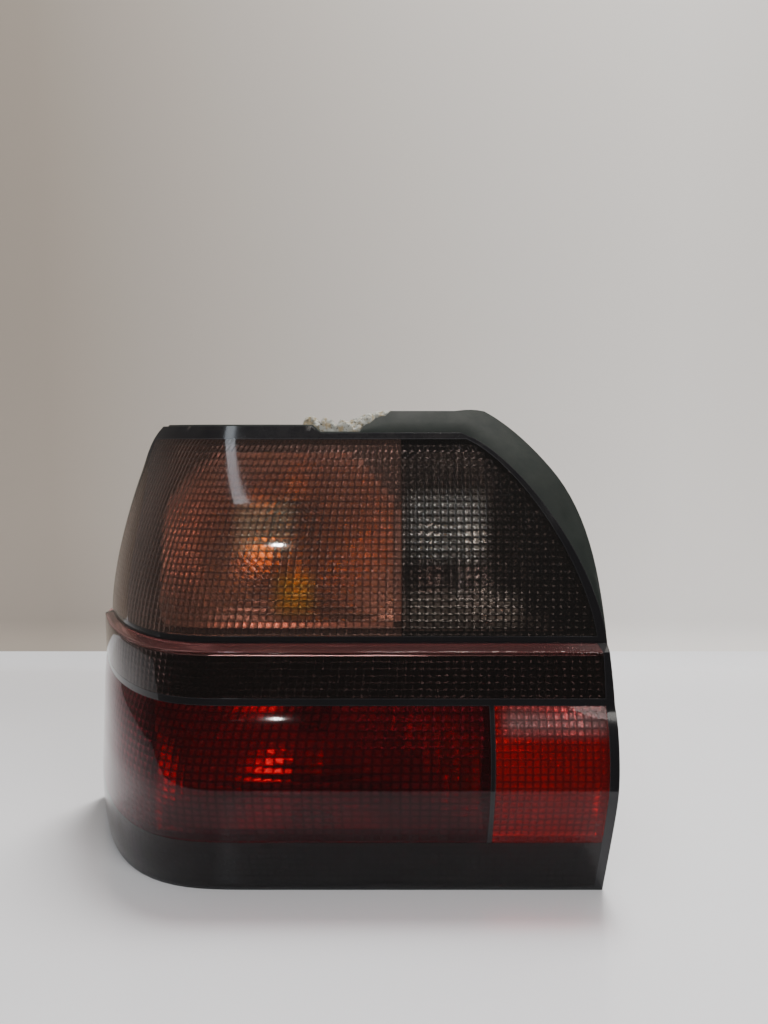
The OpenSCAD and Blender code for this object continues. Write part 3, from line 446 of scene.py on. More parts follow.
def lens_tone(tree, wear, color, painted_bowl_light, creases, line, edge):
    shade = tuple(c * SHADE for c in color)
    tone = mix_color(tree, ramp(tree, wear["Patina"], TONE_FROM, TONE_TO), shade, color)
    # Painted light: paler oblongs are mixed into the tone as reflections of the bowls.
    for x, z, wide, high, lit in painted_bowl_light:
        tone = mix_color(tree, bowl_light_mask(tree, x, z, wide, high), tone, lit)
    # Painted shade: the tone darkens at the borders of the pillow cells and on the side walls.
    if creases is not None:
        painted_crease_shade = tuple(c * line for c in color)
        tone = mix_color(tree, ramp(tree, creases, edge, CREASE_TO), painted_crease_shade, tone)
    return tone

def lens_haze(tree, wear, creases, rough):
    haze = ramp(tree, wear["Patina"], HAZE_FROM, HAZE_TO, rough, rough + PATINA_HAZE)
    if creases is not None:
        haze = math_node(tree, "ADD", haze, ramp(tree, creases, ON_DOMES, OFF_DOMES, CELL_HAZE, 0.0))
    return math_node(tree, "ADD", haze, math_node(tree, "MULTIPLY", wear["Scratch"], HAIR_HAZE), clamp=True)

# line sets how dark the painted shade in the pillow creases is, and edge the cell value up to which it is
# full.
def tinted(name, color, rough=0.042, milk=0.0, ior=1.4, cells=True, line=0.1, edge=0.12, painted_bowl_light=()):
    m, tree, shader, wear = base(name)
    shader.inputs["Transmission Weight"].default_value = 1.0 - milk
    shader.inputs["IOR"].default_value = ior
    shader.inputs["Specular IOR Level"].default_value = LENS_GLOSS
    creases = None
    if cells:
        grid = tree.nodes.new("ShaderNodeAttribute")
        grid.attribute_name = "cell"
        creases = grid.outputs["Fac"]
    tone = lens_tone(tree, wear, color, painted_bowl_light, creases, line, edge)
    link(tree, tone, shader.inputs["Base Color"])
    link(tree, lens_haze(tree, wear, creases, rough), shader.inputs["Roughness"])
    clear = tree.nodes.new("ShaderNodeBsdfTransparent")
    link(tree, tone, clear.inputs["Color"])
    both = tree.nodes.new("ShaderNodeMixShader")
    link(tree, tree.nodes.new("ShaderNodeLightPath").outputs["Is Shadow Ray"], both.inputs[0])
    link(tree, shader.outputs[0], both.inputs[1])
    link(tree, clear.outputs[0], both.inputs[2])
    link(tree, both.outputs[0], tree.nodes["Material Output"].inputs["Surface"])
    return m

print("lens finish has", CELL_HAZE, "more haze on the domes")

# %% [markdown]
# ## Foam finish
# Old foam is pale and grey, with tan patches and dark cracks. A picture of foam would stretch over the lumps.
# Noise is worked out at each point of space, so it never stretches, and at three sizes it gives the patches,
# the cracks and the pores. The shader is almost fully rough, because foam has no gloss.

# %% Foam
PATCH_SCALE, CRACK_SCALE, PORE_SCALE, PORE_DEPTH = 260, 700, 1600, 0.0006
PATCHES, CRACKS = (0.47, 0.62), (0.42, 0.34)
FOAM_ROUGH, FOAM_DUSTY, PORE_STRENGTH = 0.95, 0.3, 0.7
FOAM_GREY, FOAM_TAN = (0.4, 0.41, 0.38), (0.34, 0.28, 0.18)
FOAM_CRACK, FOAM_DUST = (0.06, 0.055, 0.045), (0.66, 0.64, 0.58)

def foam_finish():
    m, tree, shader, wear = base("foam")
    where = own_place(tree)
    patches = ramp(tree, noise(tree, where, PATCH_SCALE, 4, 0.6), *PATCHES)
    cracks = ramp(tree, noise(tree, where, CRACK_SCALE, 3, 0.7), *CRACKS)
    tone = mix_color(tree, patches, FOAM_GREY, FOAM_TAN)
    tone = mix_color(tree, cracks, tone, FOAM_CRACK)
    tone = mix_color(tree, math_node(tree, "MULTIPLY", wear["Dust"], FOAM_DUSTY), tone, FOAM_DUST)
    link(tree, tone, shader.inputs["Base Color"])
    shader.inputs["Roughness"].default_value = FOAM_ROUGH
    bump(tree, noise(tree, where, PORE_SCALE, 4, 0.7), PORE_STRENGTH, PORE_DEPTH, shader)
    return m

print("foam finish ready")

# %% [markdown]
# ## The finishes of this lamp
# The lamp has a black shot, smoked, amber and red acrylic, metallised bowls, moulded plastic, rubber, steel,
# brass and foam. They could be handed out one by one in the material tab. A dictionary with the names of the
# record's slots as keys dresses all CAD pieces in one loop, and the new pieces take theirs from it too. The
# painted bowl light of a window is a list of paler oblongs painted as reflections of the bowls: the middle in
# x and z, the width and height in millimetres, and the colour of the painted light.

# %% Lens finishes
# Painted light: paler oblongs that stand for the bowls' reflections seen through the lens.
TURN_PAINTED_BOWL_LIGHT = ((-70, 221, 34, 30, (1.0, 0.93, 0.76)), (-52, 183, 22, 24, (1.0, 0.64, 0.14)))
REVERSE_PAINTED_BOWL_LIGHT = ((37, 222, 46, 38, (1.0, 0.98, 0.95)), (47, 174, 66, 20, (0.86, 0.74, 0.66)))
FOG_PAINTED_BOWL_LIGHT = ((98, 113, 60, 13, (1.0, 0.66, 0.66)),)
M = {
    "lens_black": solid("lens_black", (0.006, 0.006, 0.008), (0.05, 0.05, 0.055), 0.1, dusty=0.03, grain=0.02,
                        gloss=0.25, spread=0.06, coat=0.12),
    "lens_amber": tinted("lens_amber", (0.66, 0.4, 0.33), milk=0.018, painted_bowl_light=TURN_PAINTED_BOWL_LIGHT),
    "lens_smoke": tinted("lens_smoke", (0.24, 0.185, 0.17), line=0.02, edge=0.24, painted_bowl_light=REVERSE_PAINTED_BOWL_LIGHT),
    "lens_band": tinted("lens_band", (0.28, 0.165, 0.155), ior=1.33),
    "lens_ledge": tinted("lens_ledge", (0.7, 0.3, 0.3), milk=0.07, cells=False),
    "lens_dark_red": tinted("lens_dark_red", (0.48, 0.02, 0.05), milk=0.015, ior=1.27),
    "lens_red": tinted("lens_red", (0.94, 0.025, 0.035), milk=0.05, ior=1.27, painted_bowl_light=FOG_PAINTED_BOWL_LIGHT),
    "lens_foot": tinted("lens_foot", (0.14, 0.1, 0.11), ior=1.33),
    "bulb_clear": tinted("bulb_clear", (0.97, 0.97, 0.97), 0.01, cells=False),
    "bulb_amber": tinted("bulb_amber", (0.98, 0.62, 0.1), 0.02, cells=False),
}
print(len(M), "finishes for lens and glass")

# %% Finishes of housing, metal and rubber
M.update({
    "metallised": solid("metallised", (0.9, 0.9, 0.89), (0.93, 0.93, 0.93), 0.17, 1.0, dusty=0.06,
                        grain=0.03),
    "housing_plastic": solid("housing_plastic", (0.017, 0.022, 0.02), (0.1, 0.12, 0.11), 0.6, dusty=0.03,
                             grain=0.2, gloss=0.14),
    "carrier_plastic": solid("carrier_plastic", (0.02, 0.02, 0.022), (0.1, 0.1, 0.1), 0.4, grain=0.25),
    "rubber": solid("rubber", (0.015, 0.015, 0.015), (0.05, 0.05, 0.05), 0.7, grain=0.35),
    "sleeve_steel": solid("sleeve_steel", (0.55, 0.54, 0.52), (0.8, 0.79, 0.77), 0.3, 1.0),
    "contact_brass": solid("contact_brass", (0.62, 0.44, 0.2), (0.85, 0.68, 0.4), 0.3, 1.0),
    "stud_steel": solid("stud_steel", (0.5, 0.49, 0.45), (0.75, 0.73, 0.7), 0.35, 1.0),
    "foam": foam_finish(),
})
for obj in nodes.values():
    for s in obj.material_slots:
        key = s.material.name.split(".")[0] if s.material else ""
        if key in M:
            s.material = M[key]
        else:
            print("no finish for", obj.name, key)
print(len(M), "finishes in all")

# %% [markdown]
# ## The coloured windows
# Five windows of one lens: turn, reversing, tail, fog and the smoked band along the foot. Each is a wall 3 mm
# thick with its pillows inside, laid on the lens between its own edges. The reversing window is a straight
# grid that the shoulder cuts off, as the real one is, so its cells don't shrink towards the top.

# %% Where a window lies
def wall_place(right, left, foot, head):
    def place(u, v, q):
        z = foot + (head - foot) * v
        a = right(z) + (left(z) - right(z)) * u
        return at(a, z, front(z), 0.0 if q is None else wall_depth(z) + q)
    return place

def fixed(a):
    return lambda z: np.full(np.shape(z), float(a))

def reverse_place(u, v, q):
    z = SILL_Z + BOND + (HEAD_Z - SILL_Z - 2 * BOND) * v
    a = RIGHT_X - RIM_END - RIM_W + (SPLIT_X + BOND - RIGHT_X + RIM_END + RIM_W) * u
    return at(np.minimum(a, rim_edge(z)), z, front(z), 0.0 if q is None else wall_depth(z) + q)

turn_place = wall_place(fixed(SPLIT_X - BOND), trail_edge, SILL_Z + BOND, HEAD_Z - BOND)
tail_place = wall_place(fixed(DIVIDER_X - DIVIDER_W - BOND), trail_edge, RED_Z + BOND, CREASE_Z - BOND)
fog_place = wall_place(rim_edge, fixed(DIVIDER_X + BOND), RED_Z + BOND, CREASE_Z - BOND)
foot_place = wall_place(rim_edge, trail_edge, FOOT_RIM + BOND, RED_Z - BOND)
print("turn and reversing window meet at", SPLIT_X, "mm")

# %% Amber, red and smoked windows
window("lens_turn_pillows", turn_place, columns=52, rows=28, height=0.8, slot="lens_amber", node="lens_turn")
window("lens_reverse_pillows", reverse_place, columns=25, rows=28, height=0.8, slot="lens_smoke",
       node="lens_reverse")
window("lens_tail_pillows", tail_place, columns=61, rows=18, height=0.7, slot="lens_dark_red",
       node="lens_tail")
window("lens_fog_pillows", fog_place, columns=15, rows=20, height=0.9, slot="lens_red", node="lens_fog",
       sub=6)
window("lens_foot_pillows", foot_place, columns=86, rows=8, height=0.7, slot="lens_foot",
       node="lens_foot_band")

# %% [markdown]
# ## The smoked band and its ledge
# The band stands upright, turns over a rounded edge and runs back as a narrow ledge. It could be two pieces
# with a bevel between them. One profile swept along the wrap is cleaner, because the highlight then runs
# round the edge without a seam. Fine ribs lie on the underside of the ledge, and pillows behind the band.

# %% Outer profile of the band
RIBS, RIB_H, EDGE_R, FACE_ROWS, ARC_ROWS, FLAT_ROWS = 230, 0.3, 1.1, 9, 6, 4
LEDGE_END = LEDGE_TOP - BOND
lean = math.atan2(LEDGE_END - LEDGE_Z, LEDGE_D)
heart_z = LEDGE_Z - EDGE_R * (1 / math.cos(lean) - math.tan(lean))
arc = np.linspace(0, math.pi / 2 - lean, ARC_ROWS + 1)[1:]
flat = np.linspace(0, 1, FLAT_ROWS + 1)[1:]
face_z = np.linspace(STRIPE_Z + BOND, heart_z, FACE_ROWS)
arc_y = LEDGE_Y + EDGE_R - EDGE_R * np.cos(arc)
arc_z = heart_z + EDGE_R * np.sin(arc)
outer_y = np.concatenate([front(face_z), arc_y, arc_y[-1] + (LEDGE_Y + LEDGE_D - arc_y[-1]) * flat])
outer_z = np.concatenate([face_z, arc_z, arc_z[-1] + (LEDGE_END - arc_z[-1]) * flat])
print("outer profile of the band:", len(outer_z), "points")

# %% Inner profile of the band
inner_face = np.linspace(STRIPE_Z + BOND, LEDGE_Z - LENS_T, FACE_ROWS)
under = np.linspace(0, 1, ARC_ROWS + FLAT_ROWS + 1)[1:]
inner_y = np.concatenate([front(inner_face), LEDGE_Y + (LEDGE_D - BOND) * under])
inner_z = np.concatenate([inner_face, LEDGE_Z - LENS_T + (LEDGE_END - LEDGE_Z) * under])
inner_q = np.concatenate([wall_depth(inner_face), LENS_T * (1 - under)])
along = np.linspace(0, 1, 2 * RIBS + 1)[:, None]
rib = RIB_H * (np.arange(2 * RIBS + 1) % 2)[:, None] * (np.arange(len(inner_z)) >= FACE_ROWS)
print("inner profile of the band:", len(inner_z), "points")

# %% Band with ribbed ledge
BAND_COLUMNS, BAND_LINES, BAND_DOME, LEDGE_SLACK = 80, 6, 0.8, 0.0004

def band_points(z, y, q, lift=0.0):
    a = rim_edge(z) + (trail_edge(z) - rim_edge(z)) * along
    return at(a, z + lift, y, q)

def band_place(u, v, q):
    z = inner_face[0] + (inner_face[-1] - inner_face[0]) * v
    a = rim_edge(z) + (trail_edge(z) - rim_edge(z)) * u
    return at(a, z, front(z), wall_depth(z) + q)

points, faces = shell(band_points(outer_z, outer_y, 0), band_points(inner_z, inner_y, inner_q, rib))
half = 2 * RIBS * (len(outer_z) - 1)
behind = np.arange(half).reshape(2 * RIBS, -1)[:, :FACE_ROWS - 1].ravel() + half
keep = np.ones(len(faces), bool)
keep[behind] = False
domes, dome_faces, cell = pillows(band_place, BAND_COLUMNS, BAND_LINES, BAND_DOME)
cell = np.concatenate([np.full(len(points), CLEAR), cell])
every = np.concatenate([faces[keep], dome_faces + len(points)])
ledge_low = LEDGE_Z * MM - LEDGE_SLACK
on_ledge = [max(f) < len(points) and max(points[f][:, 2]) > ledge_low for f in every]
make("lens_band_pillows", np.concatenate([points, domes]), every.tolist(), [M["lens_band"], M["lens_ledge"]],
     ["lens_mid_band"], index=on_ledge, cell=cell)
print("band and ledge with", RIBS, "ribs,", len(every) * 2, "triangles")

# %% [markdown]
# ## The black shot of the lens
# Rim, top band, stripe, sill and divider are one black moulding between the windows. It could be cut out of a
# solid with booleans. Here a fine grid lies over the whole lens, and only its black cells are kept and
# thickened, so the moulding follows every curve of the lens. A small bevel rounds its edges, because a real
# edge always catches some light.

# %% Grid over the whole lens
WRAP_CELLS, STEP_REACH, NUDGE, LOW_ROW = 24, 3, 0.01, 3

def span(*stops, step=4.0):
    cuts = [np.linspace(p, q, max(2, int(math.ceil(abs(q - p) / step)) + 1))[:-1]
            for p, q in zip(stops, stops[1:])]
    return np.concatenate(cuts + [[stops[-1]]])

def frame_grid():
    zs = span(0, FOOT_RIM, RED_Z, CREASE_Z, STRIPE_Z, LEDGE_Z, LEDGE_TOP + NUDGE, SILL_Z, HEAD_Z, LENS_H)
    stops = span(RIGHT_X - RIM_W, DIVIDER_X, DIVIDER_X - DIVIDER_W, 0, STEP_REACH - STEP_X,
                 -STEP_REACH - STEP_X, -WRAP_X)
    count = len(stops) + WRAP_CELLS + 2
    A = np.zeros((count, len(zs)))
    Z = np.tile(zs, (count, 1))
    for j, z in enumerate(zs):
        w = float(window_a(z))
        ways = np.where((stops > 0) & (z > LEDGE_TOP), stops * w / (RIGHT_X - RIM_W), stops)
        ways[0] = w
        trail = float(trail_a(z))
        wrap = np.linspace(-WRAP_X, trail + TRAIL_W, WRAP_CELLS + 1)[1:]
        A[:, j] = np.concatenate([[float(edge_a(z))], ways, wrap, [trail]])
    Z[:, -1] = top_z(A[:, -1])
    return A, Z, zs

A, Z, zs = frame_grid()
print("grid of", A.shape[0], "by", A.shape[1], "points")

# %% Cells that are black
centre = (zs[:-1] + zs[1:]) / 2
mask = np.zeros((A.shape[0] - 1, A.shape[1] - 1), bool)
mask[0] = mask[-1] = True
for low, high in ((0, FOOT_RIM), (CREASE_Z, STRIPE_Z), (LEDGE_TOP, SILL_Z), (HEAD_Z, LENS_H)):
    mask[:, (centre > low) & (centre < high)] = True
low_cells = (centre > RED_Z) & (centre < CREASE_Z)
middle = (A[:-1, LOW_ROW] + A[1:, LOW_ROW]) / 2
mask[np.ix_((middle > DIVIDER_X - DIVIDER_W) & (middle < DIVIDER_X), low_cells)] = True
print(int(mask.sum()), "black cells")

# %% Black frame
ROUNDING, ROUND_FROM = 0.0005, 55

def masked_shell(outer, inner, mask):
    ni, nj = outer.shape[:2]
    n = ni * nj
    faces = []
    has = lambda i, j: 0 <= i < ni - 1 and 0 <= j < nj - 1 and mask[i, j]
    for i, j in zip(*np.nonzero(mask)):
        p, q, r, s = i * nj + j, (i + 1) * nj + j, (i + 1) * nj + j + 1, i * nj + j + 1
        faces += [(s, r, q, p), (p + n, q + n, r + n, s + n)]
        sides = ((i, j - 1, q, p), (i, j + 1, s, r), (i - 1, j, p, s), (i + 1, j, r, q))
        faces += [(e, e + n, f + n, f) for k, l, e, f in sides if not has(k, l)]
    return np.concatenate([outer.reshape(-1, 3), inner.reshape(-1, 3)]), faces

back_z = np.where(Z == LEDGE_Z, Z - LENS_T, Z)
points, faces = masked_shell(at(A, Z, front(Z), 0), at(A, back_z, front(Z), wall_depth(Z)), mask)
black = make("lens_frame_black", points, faces, [M["lens_black"]], ["lens_frame"])
rounding = black.modifiers.new("rounding", "BEVEL")
rounding.width, rounding.segments, rounding.limit_method = ROUNDING, 2, "ANGLE"
rounding.angle_limit = math.radians(ROUND_FROM)
print("black frame,", len(faces), "faces")

# %% [markdown]
# ## The moulded housing
# The tub behind the lens has the true form in the CAD frame, but in flat facets. It isn't modelled again: a
# copy with its doubled corners welded shades the curved walls smoothly and keeps the real edges sharp.

# %% Smooth housing
WELD, HOUSING_SHARP = 2e-6, 34

def welded(name, angle):
    source = nodes[name]
    mesh = source.data.copy()
    mesh.transform(source.matrix_world)
    bm = bmesh.new()
    bm.from_mesh(mesh)
    bmesh.ops.remove_doubles(bm, verts=bm.verts, dist=WELD)
    bm.to_mesh(mesh)
    bm.free()
    smooth_faces(mesh)
    mesh.set_sharp_from_angle(angle=math.radians(angle))
    obj = place_piece(name + "_smooth", mesh, [name])
    print(obj.name, len(mesh.polygons), "faces")

welded("housing", HOUSING_SHARP)

# %% [markdown]
# ## The torn foam
# A strip of foam once sealed the top edge, and only a ragged rest of it is left, smeared over the broken end
# of the collar. Sculpting it by hand would do. Here the CAD form and a few flattened balls are melted into
# one skin by a voxel remesh, and two scales of noise then tear it up along its normals.

# %% Skin of the foam
SMEAR = ((-20, 0, 281, 4), (-15, 1, 282, 5), (-10, 2, 284, 5),
         (-5, 3, 286, 4.4), (0, 4, 287, 3.8), (5, 5, 288, 2.8))
BALL_SHAPE, VOXEL = (1.25, 0.8, 0.85), 0.0006

def foam_skin(source):
    work = bpy.data.objects.new("foam_work", source.data.copy())
    bpy.context.scene.collection.objects.link(work)
    work.matrix_world = source.matrix_world
    bm = bmesh.new()
    bm.from_mesh(work.data)
    for x, y, z, r in SMEAR:
        where = source.matrix_world.inverted() @ Matrix.Translation((x * MM, y * MM, z * MM))
        where = where @ Matrix.Diagonal((*(k * r * MM for k in BALL_SHAPE), 1))
        bmesh.ops.create_icosphere(bm, subdivisions=3, radius=1, matrix=where)
    bm.to_mesh(work.data)
    bm.free()
    remesh = work.modifiers.new("remesh", "REMESH")
    remesh.mode, remesh.voxel_size = "VOXEL", VOXEL
    mesh = bpy.data.meshes.new_from_object(work.evaluated_get(bpy.context.evaluated_depsgraph_get()))
    mesh.transform(source.matrix_world)
    bpy.data.objects.remove(work)
    return mesh

skin = foam_skin(nodes["seal_remnant"])
print("foam skin,", len(skin.polygons), "faces")

# %% Torn surface of the foam
TEAR_SCALE, TEAR_DEPTH, CRUMB_SCALE, CRUMB_DEPTH = 230, 0.0012, 900, 0.0006
SWELL, STUCK_H = 0.0002, 0.001

def tear(mesh):
    co = np.array([v.co[:] for v in mesh.vertices])
    away = np.array([v.normal[:] for v in mesh.vertices])
    low, high = co.min(0), co.max(0)
    rips = np.array([lumps.fractal(Vector(c * TEAR_SCALE), 1.0, 2.0, 3) for c in co])
    crumbs = np.array([lumps.noise(Vector(c * CRUMB_SCALE + 7)) for c in co])
    shift = np.clip(rips, -1, 1) * TEAR_DEPTH + crumbs * CRUMB_DEPTH + SWELL
    shift[co[:, 2] < low[2] + STUCK_H] = 0
    mesh.vertices.foreach_set("co", np.clip(co + away * shift[:, None], low, high).ravel())
    smooth_faces(mesh)
    mesh.materials.clear()
    mesh.materials.append(M["foam"])
    mesh.update()

tear(skin)
place_piece("foam_torn", skin, ["seal_remnant"])
print("foam torn by up to", TEAR_DEPTH / MM, "mm")

# %% [markdown]
# ## Bulbs
# The bulbs only show as a glow through the pillows, but a lens without them looks empty. Each one has a
# hollow glass, a metal cap with its contact, a bead, two supports and a coiled filament. Plain spheres and
# cylinders would look like stand-ins. Here the turned parts come from a profile that is turned about the
# axis, as on a lathe, and the wires from a ring that is moved along a path, so every size is one number.

# %% Turned parts and wires
CAP_FOOT, SLANT = 0.0482, (0.3, 0.2, 0.93)
TURN_STEPS, SMALL_STEPS = 40, 24

def lathe(profile, x, z, steps=TURN_STEPS):
    """A closed profile of (radius, length from the foot) turned about the axis of a bulb."""
    t = np.linspace(0, 2 * math.pi, steps, endpoint=False)[:, None]
    r = np.array([q[0] for q in profile])[None, :] * MM
    l = np.array([q[1] for q in profile])[None, :] * MM
    points = np.stack([x + r * np.cos(t), CAP_FOOT - l + 0 * t, z + r * np.sin(t)], -1)
    count = len(profile)
    faces = [(i * count + j, i * count + (j + 1) % count, (i + 1) % steps * count + (j + 1) % count,
              (i + 1) % steps * count + j) for i in range(steps) for j in range(count)]
    return points.reshape(-1, 3), faces

def wire(path, radius, sides=6):
    path = np.array(path, float) * MM
    ahead = np.gradient(path, axis=0)
    ahead /= np.linalg.norm(ahead, axis=1)[:, None]
    side = np.cross(ahead, SLANT)
    side /= np.linalg.norm(side, axis=1)[:, None]
    other = np.cross(ahead, side)
    t = np.linspace(0, 2 * math.pi, sides, endpoint=False)[None, :, None]
    rings = path[:, None] + radius * MM * (np.cos(t) * side[:, None] + np.sin(t) * other[:, None])
    last = (len(path) - 1) * sides
    faces = [(i * sides + j, i * sides + (j + 1) % sides, (i + 1) * sides + (j + 1) % sides,
              (i + 1) * sides + j) for i in range(len(path) - 1) for j in range(sides)]
    ends = [tuple(range(sides))[::-1], tuple(last + j for j in range(sides))]
    return rings.reshape(-1, 3), faces + ends

print("bulbs stand", CAP_FOOT / MM, "mm behind the reference plane")

# %% Profiles of a bulb
BALL_R, BALL_L, GLASS_T = 12.5, 34.5, 0.6
BALL_FROM, BALL_TO, BALL_POINTS = 89.5, -48, 15
BALL_ARC = np.radians(np.linspace(BALL_FROM, BALL_TO, BALL_POINTS))

def ball(r):
    return [(r * math.cos(t), BALL_L + r * math.sin(t)) for t in BALL_ARC]

GLASS = (ball(BALL_R) + [(7.2, 21.5), (6.6, 18.2), (6.6, 16.0), (6.0, 16.0), (6.0, 18.4), (6.6, 21.8)]
         + ball(BALL_R - GLASS_T)[::-1])
CAP = [(0.01, 1.0), (6.5, 1.2), (7.5, 2.2), (7.5, 17.0), (6.7, 18.0), (6.65, 15.0), (0.01, 15.0)]
CONTACT = [(0.01, 0.0), (2.6, 0.0), (3.5, 0.7), (3.5, 1.15), (0.01, 1.15)]
BEAD = [(0.01, 15.5), (3.2, 15.5), (3.2, 20.0), (1.6, 23.0), (0.01, 23.5)]
print("glass of", len(GLASS), "points, ball", 2 * BALL_R, "mm wide")

# %% Wires of a bulb
HEART_L, LEG_R = 33.5, 0.3
LEG = ((1.4, 20.0), (3.4, 27.0), (3.2, HEART_L))
COIL_R, COIL_TURNS, COIL_WIRE, COIL_HALF, COIL_SAG, COIL_POINTS = 0.55, 9, 0.14, 3.2, 0.9, 90

def bulb_wires(mx, mz):
    foot = CAP_FOOT / MM
    legs = [wire([(mx + side * out, foot - up, mz) for out, up in LEG], LEG_R) for side in (-1, 1)]
    coil = []
    for t in np.linspace(0, 1, COIL_POINTS):
        wind = 2 * COIL_TURNS * math.pi * t
        ahead = HEART_L + COIL_R * math.cos(wind) + COIL_SAG * math.sin(math.pi * t)
        coil.append((mx - COIL_HALF + 2 * COIL_HALF * t, foot - ahead, mz + COIL_R * math.sin(wind)))
    return legs + [wire(coil, COIL_WIRE, 5)]

print("filament with", COIL_TURNS, "turns")

# %% Four bulbs
BULBS = (("bulb_turn", -62, 211.815, "bulb_amber"), ("bulb_reverse", 42, 195.785, "bulb_clear"),
         ("bulb_tail", -50, 82.131, "bulb_clear"), ("bulb_fog", 88, 82.131, "bulb_clear"))

def bulb(name, x, z, glass):
    turned = [(lathe(GLASS, x, z), 0), (lathe(CAP, x, z), 1), (lathe(CONTACT, x, z, SMALL_STEPS), 2),
              (lathe(BEAD, x, z, SMALL_STEPS), 0)]
    points, faces, index, start = [], [], [], 0
    for (p, f), slot in turned + [(w, 3) for w in bulb_wires(x / MM, z / MM)]:
        points.append(p)
        faces += [tuple(start + k for k in q) for q in f]
        index += [slot] * len(f)
        start += len(p)
    mats = [M[glass], M["sleeve_steel"], M["contact_brass"], M["stud_steel"]]
    obj = make(name + "_detailed", np.concatenate(points), faces, mats, [name], index=index)
    bm = bmesh.new()
    bm.from_mesh(obj.data)
    bmesh.ops.recalc_face_normals(bm, faces=bm.faces)
    bm.to_mesh(obj.data)
    bm.free()
    print(obj.name, len(faces), "faces")

for name, x, z, glass in BULBS:
    bulb(name, x * MM, z * MM, glass)

# %% [markdown]
# ## Stage
# The lamp stands on a pale floor that curves up into a plain wall, with shade painted onto its left side. A
# box for a room would show its corners in the glossy lens, and a curved sweep doesn't. Seen from behind, the
# sheets let the camera look through, so that the back of the lamp can be looked at too.

# %% Floor and backdrop
SWEEP_HALF, REAR, BEND, FRONT = 0.8, 0.44, 0.05, -0.158
FLOOR_PAINT, WALL_PAINT, WALL_PAINTED_SHADE = (0.9, 0.915, 0.96), (0.86, 0.84, 0.82), (0.42, 0.37, 0.32)
# Painted shade on the backdrop: its colour darkens from LIGHT_X towards DARK_X on the left.
DARK_X, LIGHT_X = -0.4, 0.35

def plain(name, color, rough, left=None):
    m = bpy.data.materials.new(name)
    m.use_nodes = True
    tree = m.node_tree
    shader = tree.nodes["Principled BSDF"]
    shader.inputs["Base Color"].default_value = (*color, 1)
    shader.inputs["Roughness"].default_value = rough
    # Painted shade: the colour turns to the darker tone towards the left.
    if left:
        split = tree.nodes.new("ShaderNodeSeparateXYZ")
        link(tree, own_place(tree), split.inputs[0])
        shade = mix_color(tree, ramp(tree, split.outputs["X"], DARK_X, LIGHT_X), left, color)
        link(tree, shade, shader.inputs["Base Color"])
    both = tree.nodes.new("ShaderNodeMixShader")
    link(tree, tree.nodes.new("ShaderNodeNewGeometry").outputs["Backfacing"], both.inputs[0])
    link(tree, shader.outputs[0], both.inputs[1])
    link(tree, tree.nodes.new("ShaderNodeBsdfTransparent").outputs[0], both.inputs[2])
    link(tree, both.outputs[0], tree.nodes["Material Output"].inputs["Surface"])
    return m

def sheet(name, rows, mat):
    xs = (-SWEEP_HALF, 0.0, SWEEP_HALF)
    mesh = bpy.data.meshes.new(name)
    mesh.from_pydata([(x, y, z) for x in xs for y, z in rows], [], quads(len(xs), len(rows)).tolist())
    mesh.materials.append(mat)
    smooth_faces(mesh)
    obj = bpy.data.objects.new(name, mesh)
    bpy.context.scene.collection.objects.link(obj)

bend = [(REAR - BEND + BEND * math.sin(t), BEND - BEND * math.cos(t)) for t in np.linspace(0, math.pi / 2, 9)]
sheet("floor", [(FRONT, 0.0), (0.1, 0.0), (0.3, 0.0)] + bend[:5], plain("floor", FLOOR_PAINT, 0.12))
sheet("backdrop", bend[4:] + [(REAR, 0.4), (REAR, 1.6)], plain("backdrop", WALL_PAINT, 0.9, WALL_PAINTED_SHADE))
print("backdrop", REAR, "m behind the lamp's middle")

# %% [markdown]
# ## Camera and light
# The camera stands as near and as high as the one that took the photograph, because only the distance gives
# the same perspective, whatever the focal length. A room full of light could be an image on the world. Plain
# area lights are chosen, because each gloss then has one cause: two large soft ones fill the scene from the
# right and from above, a long narrow one makes the streak at the top left of the lens, and a very small one
# makes the sharp glints.

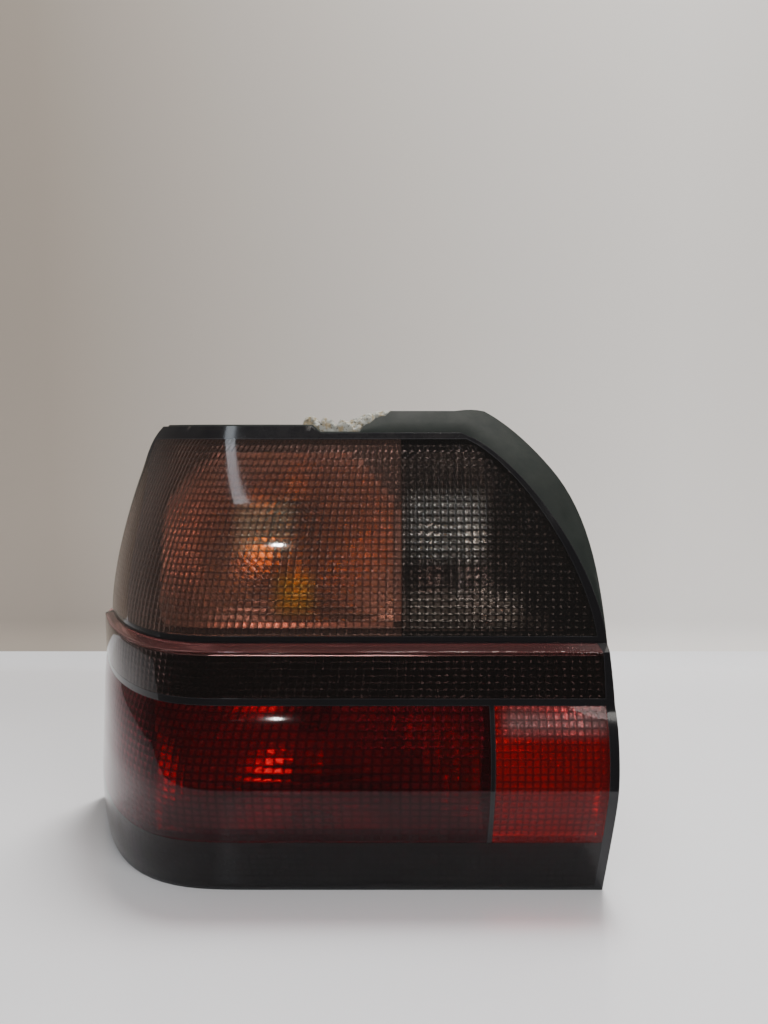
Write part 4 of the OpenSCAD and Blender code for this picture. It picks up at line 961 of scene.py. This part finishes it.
# %% Camera
CAMERA_PLACE, CAMERA_DIP, CAMERA_LENS, SENSOR = (0.0, -0.488, 0.2741), 5.6, 27.07, 36.0
cam = bpy.data.objects.new("camera", bpy.data.cameras.new("camera"))
bpy.context.scene.collection.objects.link(cam)
cam.location = CAMERA_PLACE
cam.rotation_euler = (math.radians(90 - CAMERA_DIP), 0, 0)
cam.data.lens, cam.data.sensor_width = CAMERA_LENS, SENSOR
cam.data.clip_start = 0.01
bpy.context.scene.camera = cam
print("camera at", CAMERA_PLACE)

# %% Lights
def area(name, place, aim, size, power, color, tall=None, along=(0, 0, 1)):
    lamp = bpy.data.lights.new(name, "AREA")
    lamp.shape, lamp.size, lamp.energy, lamp.color = "RECTANGLE" if tall else "DISK", size, power, color
    lamp.size_y = tall or size
    obj = bpy.data.objects.new(name, lamp)
    bpy.context.scene.collection.objects.link(obj)
    away = (Vector(place) - Vector(aim)).normalized()
    side = Vector(along).cross(away).normalized()
    turn = Matrix((side, away.cross(side), away)).transposed()
    obj.matrix_world = Matrix.Translation(place) @ turn.to_4x4()

area("window_light", place=(-0.43, -0.67, 1.45), aim=(0, 0, 0.2), size=0.08, power=3.0,
     color=(0.84, 0.92, 1.0), tall=1.5, along=(-0.1, 0.7, 0.6))
area("room_light", place=(0.9, -1.3, 1.0), aim=(0, 0, 0.15), size=0.9, power=17.0, color=(1.0, 0.97, 0.93))
area("lamp", place=(-0.119, -0.449, 0.303), aim=(-0.06, 0, 0.15), size=0.012, power=0.14,
     color=(1.0, 0.98, 0.95))
area("overhead", place=(0.2, 0.2, 1.75), aim=(0, 0.1, 0.1), size=0.55, power=26, color=(1.0, 0.97, 0.93))
print(len(bpy.data.lights), "lights")

# %% Room and colour view

ROOM_TINT, ROOM_GLOW = (0.62, 0.58, 0.54, 1), 0.52
world = bpy.data.worlds.new("room")
bpy.context.scene.world = world
world.use_nodes = True
world.node_tree.nodes["Background"].inputs["Color"].default_value = ROOM_TINT
world.node_tree.nodes["Background"].inputs["Strength"].default_value = ROOM_GLOW
bpy.context.scene.view_settings.view_transform = "AgX"
bpy.context.scene.view_settings.look = "None"
print("room light of strength", ROOM_GLOW)
